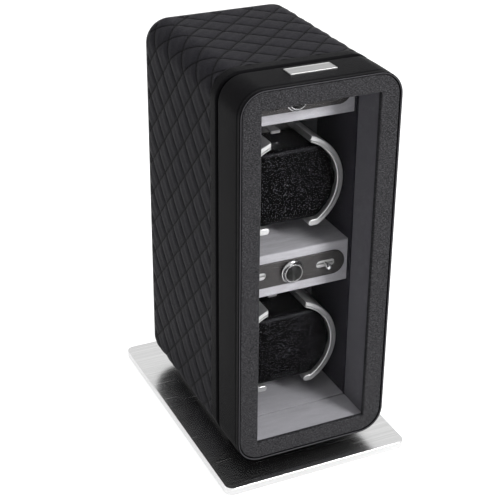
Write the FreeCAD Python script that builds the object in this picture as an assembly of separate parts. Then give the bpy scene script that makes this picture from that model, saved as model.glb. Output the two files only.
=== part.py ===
import FreeCAD, Part
import math
import os

# A watch winder box for two watches. Millimetres, +Z up, the front faces -Y,
# and the origin is on the resting face, below the middle of the base plate.

Vec = FreeCAD.Vector
to_back = Vec(0, 1, 0)
upward = Vec(0, 0, 1)

# Places closer than this are taken as one
near = 1e-4

# Base
plate_width = 160.0
plate_depth = 229.0
plate_thickness = 6.0
plate_corner_radius = 6.5
plate_edge_round = 0.8
pad_thickness = 1.5
pad_inset = 5.0
plinth_height = 8.5
plinth_inset = 16.0
base_screw_radius = 2.0
base_screw_head_radius = 4.0
base_screw_inset = 14.0
screw_clearance = 0.1

# Box outline and depths
box_width = 129.5
box_height = 310.0
corner_radius = 20.0
front_margin = 15.0
door_depth = 38.0
door_gap = 2.0
case_depth = 142.0

# Case walls
cover_thickness = 3.0
board_thickness = 8.5
side_lining_thickness = 3.0
floor_lining_thickness = 1.5
binding_width = 12.0
binding_round = 2.0
back_panel_thickness = 4.0
back_panel_reveal = 1.0
back_panel_round = 1.2
back_screw_radius = 1.5
back_screw_head_radius = 3.2
back_screw_head_height = 1.2
back_screw_length = 16.0
back_screw_rows = 3

# Quilting: diamonds with sewn lines between crowned pads
quilt_pitch = 28.0
quilt_depth = 1.0
quilt_edge_crown = 0.4

# Power inlet in the back panel
inlet_height = 60.0
inlet_radius = 4.0
inlet_flange_radius = 6.0
inlet_flange_thickness = 1.5
inlet_length = 14.0
inlet_bore_radius = 2.75
inlet_bore_depth = 9.0
inlet_pin_radius = 1.0
inlet_pin_setback = 1.0

# Consoles and their controls
console_height = 36.2
top_console_height = 34.8
console_setback = 3.5
console_wall = 4.0
plate_side_margin = 3.5
plate_bottom_margin = 8.4
control_plate_height = 20.8
control_plate_thickness = 1.2
slot_length = 16.5
slot_height = 6.5
slot_end_margin = 16.75
slot_wall_margin = 1.0
lever_radius = 1.9
lever_tip_radius = 2.4
lever_reach = 8.0
lever_end_gap = 0.7
lever_blade_width = 3.0
lever_blade_thickness = 1.0
lever_foot_depth = 2.0
lever_foot_height = 4.0
lever_foot_length = 5.0
knob_base_radius = 9.6
knob_face_radius = 7.7
knob_length = 3.8
knob_rim = 0.8
knob_gap = 0.6
stem_radius = 3.0
stem_hole_gap = 0.6
switch_depth = 8.5
speed_switch_size = 13.0
direction_switch_length = 24.0
direction_switch_height = 11.0
switch_channel_gap = 0.25
switch_cover_gap = 0.15
switch_slit_gap = 0.3
control_board_thickness = 1.6
control_board_end_gap = 5.0

# Drums
drum_wall_gap = 4.75
drum_drop = 2.1
hoop_spread_share = 0.0835
hoop_mouth_share = 0.8
hoop_thickness = 5.2
hoop_setback = 4.5
hoop_edge_round = 0.8
hoop_lip = 1.3
hoop_groove_width = 0.8
hoop_groove_depth = 2.0
foot_drop_share = 0.803
foot_inset = 2.8
foot_thickness = 5.4
drum_depth = 50.5
drum_disc_thickness = 4.0
drum_hub_radius = 8.0
drum_hub_length = 1.7
drum_shaft_radius = 3.0
shaft_seat_floor = 1.0
shaft_overhang = 1.0
tongue_width = 7.3
tongue_length = 19.8
tongue_rise = 4.5
tongue_thickness = 1.8
tongue_lip = 0.4
running_gap = 0.05
end_play = 0.3

# Cushions
cushion_foot_gap = 0.3
cushion_corner_radius = 4.0
cushion_gap = 0.3
cushion_proud = 0.8
cushion_crown = 1.2
cushion_edge_round = 2.6
cushion_back_draw = 1.0

# Drives behind the partition
partition_thickness = 6.0
partition_lining_thickness = 2.0
bush_radius = 5.0
bush_flange_radius = 8.0
bush_flange_thickness = 1.5
pulley_gap = 2.0
pulley_seat_width = 5.0
pulley_flange_thickness = 1.5
pulley_flange_height = 2.0
drum_pulley_radius = 20.0
drum_pulley_hole_radius = 3.5
drum_pulley_hole_count = 6
motor_pulley_radius = 5.0
motor_offset = 40.0
spindle_radius = 1.5
spindle_engagement = 8.0
belt_thickness = 1.0
belt_width = 4.0
belt_gap = 0.1
bracket_thickness = 2.0
bracket_half_width = 20.0
bracket_half_height = 17.0
bracket_foot = 9.0
bracket_pulley_gap = 1.5
motor_boss_radius = 4.8
motor_boss_gap = 0.2
gearbox_radius = 16.0
gearbox_length = 12.0
motor_can_radius = 12.2
motor_can_length = 22.0
motor_cap_radius = 5.0
motor_cap_length = 2.5

# Door
wrap_thickness = 1.5
wrap_front_round = 1.0
wrap_back_round = 1.2
panel_thickness = 3.5
panel_setback = 0.6
panel_groove = 0.8
window_lip = 3.0
glass_thickness = 3.0
glass_ledge = 3.5
glass_gap = 0.3
glass_corner_radius = 5.0
door_lining_thickness = 2.0
magnet_radius = 3.0
magnet_depth = 3.0
magnet_gap = 0.05
nameplate_width = 37.0
nameplate_depth = 12.5
nameplate_thickness = 1.0
nameplate_shift = 1.6
nameplate_back_margin = 7.05

# Hinges, on the right of the door
hinge_length = 42.0
hinge_inset = 40.0
hinge_barrel_radius = 2.5
hinge_barrel_gap = 0.2
hinge_leaf_width = 10.0
hinge_leaf_gap = 0.4
hinge_knuckle_gap = 0.3
hinge_pin_radius = 1.2
hinge_pin_head_radius = 2.2
hinge_pin_head_height = 0.8

# Levels and planes that follow from the sizes above
plate_bottom = pad_thickness
plate_top = plate_bottom + plate_thickness
box_bottom = plate_top + plinth_height
box_middle = box_bottom + box_height / 2
box_top = box_bottom + box_height
door_front = -plate_depth / 2 + front_margin
door_back = door_front + door_depth
case_front = door_back + door_gap
case_back = case_front + case_depth
panel_inside = case_back - back_panel_thickness

shell_width = box_width - 2 * cover_thickness
shell_height = box_height - 2 * cover_thickness
shell_radius = corner_radius - cover_thickness
cavity_half = box_width / 2 - cover_thickness - board_thickness
cavity_floor = box_bottom + cover_thickness + board_thickness
cavity_ceiling = box_top - cover_thickness - board_thickness
inside_half = cavity_half - side_lining_thickness
inside_floor = cavity_floor + floor_lining_thickness

compartment_height = (cavity_ceiling - inside_floor - console_height - top_console_height) / 2
lower_console_bottom = inside_floor + compartment_height
lower_console_top = lower_console_bottom + console_height
upper_console_bottom = lower_console_top + compartment_height
console_front = case_front + console_setback
console_inside = console_front + console_wall
control_plate_half = inside_half - plate_side_margin
slot_offset = control_plate_half - slot_end_margin

drum_radius = min(inside_half, compartment_height / 2) - drum_wall_gap
hoop_spread = hoop_spread_share * drum_radius
hoop_outside = drum_radius - hoop_spread
hoop_inside = hoop_outside - hoop_thickness
hoop_mouth = hoop_mouth_share * hoop_outside
foot_mouth = hoop_mouth + 2 * foot_inset
foot_drop = foot_drop_share * hoop_outside
cushion_half_height = foot_drop - foot_thickness / 2 - cushion_foot_gap
drum_front = console_front + hoop_setback
drum_back = drum_front + drum_depth
disc_front = drum_back - drum_disc_thickness
partition_front = drum_back + drum_hub_length + end_play + bush_flange_thickness
board_front = partition_front + partition_lining_thickness
board_back = board_front + partition_thickness
pulley_width = pulley_seat_width + 2 * pulley_flange_thickness
pulley_front = board_back + pulley_gap
pulley_back = pulley_front + pulley_width
bracket_front = pulley_back + bracket_pulley_gap
bracket_back = bracket_front + bracket_thickness

door_inside_floor = inside_floor
door_inside_ceiling = cavity_ceiling - floor_lining_thickness
door_inside_height = door_inside_ceiling - door_inside_floor
door_inside_middle = (door_inside_ceiling + door_inside_floor) / 2
panel_front = door_front + panel_setback
panel_back = panel_front + panel_thickness
glass_back = panel_back + glass_thickness
hinge_x = box_width / 2 + hinge_barrel_gap + hinge_barrel_radius
hinge_y = (door_back + case_front) / 2

tiers = {
    "lower": {"console_bottom": lower_console_bottom, "console_top": lower_console_top,
              "drum_middle": inside_floor + compartment_height / 2 - drum_drop},
    "upper": {"console_bottom": upper_console_bottom, "console_top": cavity_ceiling,
              "drum_middle": lower_console_top + compartment_height / 2 - drum_drop},
}


def block(x0, x1, y0, y1, z0, z1):
    """Square block between two corners."""
    return Part.makeBox(x1 - x0, y1 - y0, z1 - z0, Vec(x0, y0, z0))


def rod(radius, x, z, y0, y1):
    """Round bar from front to back."""
    return Part.makeCylinder(radius, y1 - y0, Vec(x, y0, z), to_back)


def outline(width, height, radius, y, middle):
    """Rounded rectangle across Y, starting at the middle of its top."""
    straight_x = width / 2 - radius
    straight_z = height / 2 - radius
    start = Vec(0, y, middle + height / 2)
    edges = []
    last = start
    for turn, (side, end) in enumerate(((1, 1), (1, -1), (-1, -1), (-1, 1))):
        centre = Vec(side * straight_x, y, middle + end * straight_z)
        arc = []
        for step in range(3):
            angle = math.radians(90 - 90 * turn - 45 * step)
            arc.append(centre + Vec(radius * math.cos(angle), 0, radius * math.sin(angle)))
        edges.append(Part.makeLine(last, arc[0]))
        edges.append(Part.Arc(*arc).toShape())
        last = arc[2]
    edges.append(Part.makeLine(last, start))
    return Part.Wire(edges)


def rounded_bar(width, height, radius, y0, y1, middle=box_middle):
    """Bar of rounded rectangular section from front to back."""
    section = Part.Face(outline(width, height, radius, y0, middle))
    return section.extrude(to_back * (y1 - y0))


def round_end(solid, y, radius):
    """Round over the edges of a bar's end at one y."""
    edges = []
    for edge in solid.Edges:
        box = edge.BoundBox
        if abs(box.YMin - y) < near and abs(box.YMax - y) < near:
            edges.append(edge)
    return solid.makeFillet(radius, edges)


def turned(profile, x, z):
    """Solid of revolution about a line along Y, from the (radius, y) points of its half section."""
    points = [Vec(x + radius, y, z) for radius, y in profile]
    points.append(points[0])
    return Part.Face(Part.makePolygon(points)).revolve(Vec(x, 0, z), to_back, 360)


def stadium(length, height, x, z, y0, y1):
    """Bar with straight long sides and round ends, from front to back."""
    radius = height / 2
    bar = block(x - length / 2 + radius, x + length / 2 - radius, y0, y1, z - radius, z + radius)
    for side in (-1, 1):
        bar = bar.fuse(rod(radius, x + side * (length / 2 - radius), z, y0, y1))
    return bar.removeSplitter()


# Base

def screw_places():
    """Places of the base screws, within the plinth."""
    x = box_width / 2 - plinth_inset - base_screw_inset
    y0 = door_back + plinth_inset + base_screw_inset
    y1 = case_back - plinth_inset - base_screw_inset
    return [(side * x, y) for side in (-1, 1) for y in (y0, y1)]


def base_plate():
    plate = block(-plate_width / 2, plate_width / 2, -plate_depth / 2, plate_depth / 2,
                  plate_bottom, plate_top)
    corners = [edge for edge in plate.Edges if edge.BoundBox.ZLength > plate_thickness / 2]
    plate = plate.makeFillet(plate_corner_radius, corners)
    rim = [edge for edge in plate.Edges if edge.BoundBox.ZMin > plate_top - near]
    plate = plate.makeFillet(plate_edge_round, rim)
    for x, y in screw_places():
        plate = plate.cut(screw_hole(x, y))
    return plate


def screw_hole(x, y):
    """Hole for a base screw through the plate, with its countersink below."""
    sink = base_screw_head_radius - base_screw_radius
    shank = Part.makeCylinder(base_screw_radius + screw_clearance, plate_thickness + plinth_height,
                              Vec(x, y, plate_bottom), upward)
    head = Part.makeCone(base_screw_head_radius + screw_clearance, base_screw_radius + screw_clearance,
                         sink, Vec(x, y, plate_bottom), upward)
    return shank.fuse(head)


def base_pad():
    x = plate_width / 2 - pad_inset
    y = plate_depth / 2 - pad_inset
    pad = block(-x, x, -y, y, 0, pad_thickness)
    corners = [edge for edge in pad.Edges if edge.BoundBox.ZLength > pad_thickness / 2]
    return pad.makeFillet(plate_corner_radius, corners)


def plinth():
    x = box_width / 2 - plinth_inset
    body = block(-x, x, door_back + plinth_inset, case_back - plinth_inset, plate_top, box_bottom)
    for hole_x, hole_y in screw_places():
        body = body.cut(screw_hole(hole_x, hole_y))
    return body


def base_screws():
    """Countersunk screws up through the plate into the plinth."""
    sink = base_screw_head_radius - base_screw_radius
    length = plate_thickness + plinth_height - 2 * screw_clearance
    screws = []
    for x, y in screw_places():
        shank = Part.makeCylinder(base_screw_radius, length, Vec(x, y, plate_bottom), upward)
        head = Part.makeCone(base_screw_head_radius, base_screw_radius, sink,
                             Vec(x, y, plate_bottom), upward)
        screws.append(shank.fuse(head))
    return Part.makeCompound(screws)


# Case

def magnet_place():
    """Middle of the catch magnets: in the left wall, half way up."""
    return -cavity_half - board_thickness / 2, box_middle


def back_screw_places():
    """Places of the back panel's screws, in the middle of the board on both sides."""
    x = cavity_half + board_thickness / 2
    low = box_bottom + corner_radius
    step = (box_height - 2 * corner_radius) / (back_screw_rows - 1)
    return [(side * x, low + row * step) for side in (-1, 1) for row in range(back_screw_rows)]


def case_shell():
    """Board tube with rounded outer corners and a square cavity."""
    shell = rounded_bar(shell_width, shell_height, shell_radius, case_front, panel_inside)
    shell = shell.cut(block(-cavity_half, cavity_half, case_front, panel_inside,
                            cavity_floor, cavity_ceiling))
    x, z = magnet_place()
    shell = shell.cut(rod(magnet_radius + magnet_gap, x, z, case_front, case_front + magnet_depth))
    reach = back_screw_length - back_panel_thickness
    for x, z in back_screw_places():
        shell = shell.cut(rod(back_screw_radius + screw_clearance, x, z,
                              panel_inside - reach, panel_inside))
    return shell


def triangle(a, b, c):
    return Part.Face(Part.makePolygon([a, b, c, a]))


def quilted_cover():
    """Padded wrap with diamonds sewn at 45 degrees: sewn lines low, the middle of each pad high."""
    front = case_front + binding_width
    low_rise = cover_thickness - quilt_depth
    high = outline(box_width, box_height, corner_radius, 0, box_middle)
    low = outline(shell_width + 2 * low_rise, shell_height + 2 * low_rise,
                  shell_radius + low_rise, 0, box_middle)
    columns = 2 * round(high.Length / quilt_pitch)
    rows = round(2 * (panel_inside - front) / quilt_pitch)
    row_depth = (panel_inside - front) / rows
    high_points = high.discretize(Number=columns + 1)
    low_points = low.discretize(Number=columns + 1)

    def at(points, column, row):
        point = points[column % columns]
        return Vec(point.x, front + row * row_depth, point.z)

    def sewn(column, row):
        """A point on a sewn line. The underside stays flat, where the plinth bears on it."""
        on_floor = high_points[column % columns].z < box_bottom + near
        return at(high_points if on_floor else low_points, column, row)

    faces = []
    for row in range(rows + 1):
        for column in range(columns):
            if (column + row) % 2 == 0:
                continue
            left = sewn(column - 1, row)
            right = sewn(column + 1, row)
            if row == 0:
                ring = (left, sewn(column, 1), right, sewn(column, 0))
                crown = at(high_points, column, quilt_edge_crown)
            elif row == rows:
                ring = (left, sewn(column, rows), right, sewn(column, rows - 1))
                crown = at(high_points, column, rows - quilt_edge_crown)
            else:
                ring = (left, sewn(column, row + 1), right, sewn(column, row - 1))
                crown = at(high_points, column, row)
            for side in range(4):
                faces.append(triangle(crown, ring[side], ring[(side + 1) % 4]))
    for row in (0, rows):
        rim = [sewn(column, row) for column in range(columns + 1)]
        faces.append(Part.Face(Part.makePolygon(rim)))
    padded = Part.Solid(Part.Shell(faces))
    if padded.Volume < 0:
        padded.reverse()
    return padded.cut(rounded_bar(shell_width, shell_height, shell_radius, front, panel_inside))


def case_binding():
    """Plain strip of leatherette round the front edge of the case."""
    back = case_front + binding_width
    ring = round_end(rounded_bar(box_width, box_height, corner_radius, case_front, back),
                     case_front, binding_round)
    return ring.cut(rounded_bar(shell_width, shell_height, shell_radius, case_front, back))


def back_panel():
    panel = rounded_bar(box_width - 2 * back_panel_reveal, box_height - 2 * back_panel_reveal,
                        corner_radius - back_panel_reveal, panel_inside, case_back)
    panel = round_end(panel, case_back, back_panel_round)
    panel = panel.cut(rod(inlet_radius + screw_clearance, 0, box_bottom + inlet_height,
                          panel_inside, case_back))
    for x, z in back_screw_places():
        panel = panel.cut(rod(back_screw_radius + screw_clearance, x, z, panel_inside, case_back))
    return panel


def back_panel_screws():
    """Pan-headed screws through the back panel into the board."""
    screws = []
    for x, z in back_screw_places():
        tip = panel_inside + back_panel_thickness - back_screw_length + screw_clearance
        head_top = case_back + back_screw_head_height
        profile = [
            (0, tip),
            (back_screw_radius, tip),
            (back_screw_radius, case_back),
            (back_screw_head_radius, case_back),
            (back_screw_head_radius - back_screw_head_height / 2, head_top),
            (0, head_top),
        ]
        screws.append(turned(profile, x, z))
    return Part.makeCompound(screws)


def dc_inlet():
    """Barrel socket with a centre pin, let into the back panel."""
    z = box_bottom + inlet_height
    back = case_back + inlet_flange_thickness
    body = rod(inlet_radius, 0, z, back - inlet_length, back)
    body = body.fuse(rod(inlet_flange_radius, 0, z, case_back, back))
    body = body.cut(rod(inlet_bore_radius, 0, z, back - inlet_bore_depth, back))
    return body.fuse(rod(inlet_pin_radius, 0, z, back - inlet_bore_depth - inlet_pin_setback,
                         back - inlet_pin_setback))


def lining_side(side):
    """Suede-covered panel on a side wall, from the case's front to the partition."""
    inner = side * inside_half
    outer = side * cavity_half
    return block(min(inner, outer), max(inner, outer), case_front, board_front,
                 cavity_floor, cavity_ceiling)


def lining_floor():
    return block(-inside_half, inside_half, case_front, board_front, cavity_floor, inside_floor)


def partition_board():
    """Upright board behind the drums, which carries the drives."""
    board = block(-cavity_half, cavity_half, board_front, board_back, cavity_floor, cavity_ceiling)
    for tier in tiers.values():
        board = board.cut(rod(bush_radius + running_gap, 0, tier["drum_middle"], board_front, board_back))
    return board


def partition_lining():
    panel = block(-inside_half, inside_half, partition_front, board_front, inside_floor, cavity_ceiling)
    for tier in tiers.values():
        panel = panel.cut(rod(bush_radius + running_gap, 0, tier["drum_middle"],
                              partition_front, board_front))
        panel = panel.cut(block(-inside_half, inside_half, partition_front, board_front,
                                tier["console_bottom"], tier["console_top"]))
    return panel


def magnet(y0, y1):
    x, z = magnet_place()
    return rod(magnet_radius, x, z, y0, y1)


# Consoles and controls

def plate_middle(tier):
    return tier["console_bottom"] + plate_bottom_margin + control_plate_height / 2


def slot_cut(side, tier, margin, y0, y1):
    """Tool for one lever slot, wider by a margin all round."""
    return stadium(slot_length + 2 * margin, slot_height + 2 * margin, side * slot_offset,
                   plate_middle(tier), y0, y1)


def console(tier):
    """Suede-covered housing across the case: front, top, bottom, open at the back."""
    bottom = tier["console_bottom"]
    top = tier["console_top"]
    body = block(-inside_half, inside_half, console_front, board_front, bottom, top)
    body = body.cut(block(-inside_half, inside_half, console_inside, board_front,
                          bottom + console_wall, top - console_wall))
    body = body.cut(rod(stem_radius + 2 * stem_hole_gap, 0, plate_middle(tier),
                        console_front, console_inside))
    for side in (-1, 1):
        body = body.cut(slot_cut(side, tier, slot_wall_margin, console_front, console_inside))
    return body


def control_plate(tier):
    """Dark metal plate with round ends, a hole for the knob's stem and two slots."""
    front = console_front - control_plate_thickness
    middle = plate_middle(tier)
    plate = stadium(2 * control_plate_half, control_plate_height, 0, middle, front, console_front)
    plate = plate.cut(rod(stem_radius + stem_hole_gap, 0, middle, front, console_front))
    for side in (-1, 1):
        plate = plate.cut(slot_cut(side, tier, 0, front, console_front))
    return plate


def control_board(tier):
    half = inside_half - control_board_end_gap
    middle = plate_middle(tier)
    front = console_inside + switch_depth
    return block(-half, half, front, front + control_board_thickness,
                 middle - control_plate_height / 2, middle + control_plate_height / 2)


def speed_switch(tier):
    """Rotary switch on the board, with a bore for the knob's stem."""
    middle = plate_middle(tier)
    half = speed_switch_size / 2
    back = console_inside + switch_depth
    body = block(-half, half, console_inside, back, middle - half, middle + half)
    return body.cut(rod(stem_radius + running_gap, 0, middle, console_inside, back))


def lever_travel():
    return slot_length - 2 * lever_radius - 2 * lever_end_gap


def lever_rest(side):
    """The left lever stands at the outer end of its slot, the right one in the middle."""
    if side < 0:
        return -slot_offset - lever_travel() / 2
    return slot_offset


def direction_switches(tier):
    """Two slide switches on the board, each with a pale cover that fills the console's slot.

    The lever's blade passes a slit in the cover, and its foot slides in a channel behind.
    """
    middle = plate_middle(tier)
    half_height = direction_switch_height / 2
    half_length = direction_switch_length / 2
    back = console_inside + switch_depth
    channel_half = (lever_travel() + lever_foot_length) / 2 + switch_channel_gap
    channel_height = lever_foot_height / 2 + switch_channel_gap
    channel_back = console_inside + lever_foot_depth + switch_channel_gap
    slit_half = (lever_travel() + lever_blade_width) / 2 + switch_slit_gap
    slit_height = lever_blade_thickness / 2 + switch_slit_gap
    switches = []
    for side in (-1, 1):
        x = side * slot_offset
        body = block(x - half_length, x + half_length, console_inside, back,
                     middle - half_height, middle + half_height)
        body = body.fuse(slot_cut(side, tier, slot_wall_margin - switch_cover_gap,
                                  console_front, console_inside))
        body = body.cut(block(x - slit_half, x + slit_half, console_front, console_inside,
                              middle - slit_height, middle + slit_height))
        switches.append(body.cut(block(x - channel_half, x + channel_half, console_inside, channel_back,
                                       middle - channel_height, middle + channel_height)))
    return Part.makeCompound(switches)


def knob(tier):
    """Turned knob, wider at its base, with a dished face, on the stem that enters the rotary switch."""
    back = console_front - control_plate_thickness - knob_gap
    front = back - knob_length
    dish = knob_rim / 2
    end = console_inside + switch_depth - end_play
    profile = [
        (0, front + dish),
        (knob_face_radius - 2 * knob_rim, front + dish),
        (knob_face_radius - 2 * knob_rim, front),
        (knob_face_radius - knob_rim, front),
        (knob_face_radius, front + dish),
        (knob_base_radius, back - dish),
        (knob_base_radius, back),
        (stem_radius, back),
        (stem_radius, end),
        (0, end),
    ]
    return turned(profile, 0, plate_middle(tier))


def lever(side, tier):
    """Slim round lever with a fuller tip, on a flat blade with a foot that slides in the switch."""
    x = lever_rest(side)
    middle = plate_middle(tier)
    tip = console_front - control_plate_thickness - lever_reach
    neck = tip + 2.5 * lever_tip_radius
    shank_back = console_front - switch_slit_gap
    profile = [
        (0, tip),
        (0.7 * lever_tip_radius, tip + 0.3 * lever_tip_radius),
        (lever_tip_radius, tip + lever_tip_radius),
        (lever_radius, neck),
        (lever_radius, shank_back),
        (0, shank_back),
    ]
    blade = block(x - lever_blade_width / 2, x + lever_blade_width / 2, shank_back, console_inside,
                  middle - lever_blade_thickness / 2, middle + lever_blade_thickness / 2)
    foot = block(x - lever_foot_length / 2, x + lever_foot_length / 2, console_inside,
                 console_inside + lever_foot_depth, middle - lever_foot_height / 2,
                 middle + lever_foot_height / 2)
    return turned(profile, x, middle).fuse(blade).fuse(foot)


# Drums

def hoop(middle, side):
    """One of the two curved wings that hold a watch: cut upright at the top, with a level round-ended foot.

    Both arcs share a centre a little to the wing's own side of the middle.
    """
    foot_top = -foot_drop + foot_thickness / 2
    foot_bottom = -foot_drop - foot_thickness / 2

    def place(x, z):
        return Vec(side * x, drum_front, middle + z)

    def at_width(radius, x):
        """Point of an arc straight above a place on the mouth."""
        return place(x, math.sqrt(radius ** 2 - (x - hoop_spread) ** 2))

    def at_level(radius, z):
        """Point of an arc on the wing's side at one height."""
        return place(hoop_spread + math.sqrt(radius ** 2 - z ** 2), z)

    out_low = at_level(hoop_outside, foot_bottom)
    out_high = at_width(hoop_outside, hoop_mouth / 2)
    in_high = at_width(hoop_inside, hoop_mouth / 2)
    in_low = at_level(hoop_inside, foot_top)
    foot_x = foot_mouth / 2
    foot_end = place(foot_x - foot_thickness / 2, -foot_drop)
    section = Part.Wire([
        Part.Arc(out_low, at_level(hoop_outside, 0), out_high).toShape(),
        Part.makeLine(out_high, in_high),
        Part.Arc(in_high, at_level(hoop_inside, 0), in_low).toShape(),
        Part.makeLine(in_low, place(foot_x, foot_top)),
        Part.Arc(place(foot_x, foot_top), foot_end, place(foot_x, foot_bottom)).toShape(),
        Part.makeLine(place(foot_x, foot_bottom), out_low),
    ])
    wing = Part.Face(section).extrude(to_back * drum_depth)
    wing = round_end(wing, drum_front, hoop_edge_round)
    return wing.cut(lip_groove(middle, side, foot_top))


def lip_groove(middle, side, lowest):
    """Narrow groove in a wing's front that leaves a narrow lip along its inside."""
    x = side * hoop_spread
    groove_back = drum_front + hoop_groove_depth
    ring = rod(hoop_inside + hoop_lip + hoop_groove_width, x, middle, drum_front, groove_back)
    ring = ring.cut(rod(hoop_inside + hoop_lip, x, middle, drum_front, groove_back))
    return ring.common(block(-drum_radius, drum_radius, drum_front, groove_back,
                             middle + lowest, middle + hoop_outside))


def drum_cup(tier):
    """Back plate with two hoops, a hub behind and a tongue that reaches over the cushion."""
    middle = tier["drum_middle"]
    cup = stadium(2 * drum_radius, 2 * hoop_outside, 0, middle, disc_front, drum_back)
    cup = cup.fuse(rod(drum_hub_radius, 0, middle, drum_back, drum_back + drum_hub_length))
    for side in (-1, 1):
        cup = cup.fuse(hoop(middle, side))
    under = middle + cushion_half_height + tongue_rise
    front = disc_front - tongue_length
    cup = cup.fuse(block(-tongue_width / 2, tongue_width / 2, front, disc_front,
                         under, under + tongue_thickness))
    cup = cup.fuse(block(-tongue_width / 2, tongue_width / 2, front, front + tongue_thickness,
                         under - tongue_lip, under))
    cup = cup.cut(rod(drum_shaft_radius + running_gap, 0, middle, disc_front + shaft_seat_floor,
                      drum_back + drum_hub_length))
    return cup.removeSplitter()


def drum_shaft(tier):
    return rod(drum_shaft_radius, 0, tier["drum_middle"], disc_front + shaft_seat_floor,
               pulley_back + shaft_overhang)


def cushion_section(radius, half_height, corner, y, middle):
    """Outline between the hoops: round sides like theirs, flat above and below, four rounded corners."""
    corner_z = half_height - corner
    reach = math.sqrt((radius - corner) ** 2 - corner_z ** 2)
    corner_x = hoop_spread + reach
    lean = math.atan2(corner_z, reach)

    def place(side, end, x, z):
        return Vec(side * x, y, middle + end * z)

    def corner_arc(side, end):
        """Points from the flat to the round side."""
        arc = []
        for part in (0, 0.5, 1):
            turn = math.pi / 2 + part * (lean - math.pi / 2)
            x = corner_x + corner * math.cos(turn)
            z = corner_z + corner * math.sin(turn)
            arc.append(place(side, end, x, z))
        return arc

    top_right = corner_arc(1, 1)
    low_right = corner_arc(1, -1)
    low_left = corner_arc(-1, -1)
    top_left = corner_arc(-1, 1)
    side_x = hoop_spread + radius
    return Part.Wire([
        Part.makeLine(top_left[0], top_right[0]),
        Part.Arc(*top_right).toShape(),
        Part.Arc(top_right[2], place(1, 0, side_x, 0), low_right[2]).toShape(),
        Part.Arc(*reversed(low_right)).toShape(),
        Part.makeLine(low_right[0], low_left[0]),
        Part.Arc(*low_left).toShape(),
        Part.Arc(low_left[2], place(-1, 0, side_x, 0), top_left[2]).toShape(),
        Part.Arc(*reversed(top_left)).toShape(),
    ])


def cushion(tier):
    """Firm pad between the hoops: drawn in at the back, rounded and crowned at the front."""
    radius = hoop_inside - cushion_gap
    back = disc_front - cushion_gap
    front = drum_front - cushion_proud
    shoulder = front + cushion_crown + cushion_edge_round
    sections = [
        (cushion_back_draw, back),
        (0, (back + shoulder) / 2),
        (cushion_back_draw / 4, shoulder),
        (0.3 * cushion_edge_round, front + cushion_crown + 0.3 * cushion_edge_round),
        (cushion_edge_round, front + cushion_crown / 2),
        (3 * cushion_edge_round, front),
    ]
    wires = []
    for inset, y in sections:
        wires.append(cushion_section(radius - inset, cushion_half_height - inset,
                                     cushion_corner_radius - inset / 4, y, tier["drum_middle"]))
    return Part.makeLoft(wires, True, True)


# Drives

def grooved_pulley(seat_radius, bore_radius, x, z):
    """Belt pulley with two flanges."""
    flange = seat_radius + pulley_flange_height
    seat_front = pulley_front + pulley_flange_thickness
    seat_back = pulley_back - pulley_flange_thickness
    profile = [
        (bore_radius, pulley_front),
        (flange, pulley_front),
        (flange, seat_front),
        (seat_radius, seat_front),
        (seat_radius, seat_back),
        (flange, seat_back),
        (flange, pulley_back),
        (bore_radius, pulley_back),
    ]
    return turned(profile, x, z)


def drum_pulley(tier):
    middle = tier["drum_middle"]
    wheel = grooved_pulley(drum_pulley_radius, drum_shaft_radius + running_gap, 0, middle)
    ring = (drum_pulley_radius + drum_shaft_radius) / 2
    for number in range(drum_pulley_hole_count):
        turn = 2 * math.pi * number / drum_pulley_hole_count
        wheel = wheel.cut(rod(drum_pulley_hole_radius, ring * math.cos(turn),
                              middle + ring * math.sin(turn), pulley_front, pulley_back))
    return wheel


def motor_middle(tier):
    return tier["drum_middle"] + motor_offset


def motor_pulley(tier):
    """Small pulley on the motor's spindle."""
    middle = motor_middle(tier)
    wheel = grooved_pulley(motor_pulley_radius, spindle_radius / 2, 0, middle)
    return wheel.fuse(rod(spindle_radius, 0, middle, pulley_front, bracket_back + spindle_engagement))


def shaft_bush(tier):
    """Flanged bush in the partition."""
    middle = tier["drum_middle"]
    bush = rod(bush_radius, 0, middle, partition_front, board_back)
    bush = bush.fuse(rod(bush_flange_radius, 0, middle, partition_front - bush_flange_thickness,
                         partition_front))
    return bush.cut(rod(drum_shaft_radius + running_gap, 0, middle,
                        partition_front - bush_flange_thickness, board_back))


def belt_loop(tier, big, small, y):
    """Closed line round both pulleys: two arcs and their outer tangents."""
    low = Vec(0, y, tier["drum_middle"])
    high = Vec(0, y, motor_middle(tier))
    lean = math.acos((big - small) / motor_offset)

    def on(centre, radius, turn):
        return centre + Vec(radius * math.sin(turn), 0, radius * math.cos(turn))

    return Part.Wire([
        Part.makeLine(on(low, big, lean), on(high, small, lean)),
        Part.Arc(on(high, small, lean), on(high, small, 0), on(high, small, -lean)).toShape(),
        Part.makeLine(on(high, small, -lean), on(low, big, -lean)),
        Part.Arc(on(low, big, -lean), on(low, big, math.pi), on(low, big, lean)).toShape(),
    ])


def belt(tier):
    """Flat rubber belt from the motor pulley to the drum pulley."""
    front = (pulley_front + pulley_back - belt_width) / 2
    inner = Part.Face(belt_loop(tier, drum_pulley_radius + belt_gap, motor_pulley_radius + belt_gap, front))
    rise = belt_gap + belt_thickness
    outer = Part.Face(belt_loop(tier, drum_pulley_radius + rise, motor_pulley_radius + rise, front))
    return outer.cut(inner).extrude(to_back * belt_width)


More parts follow.
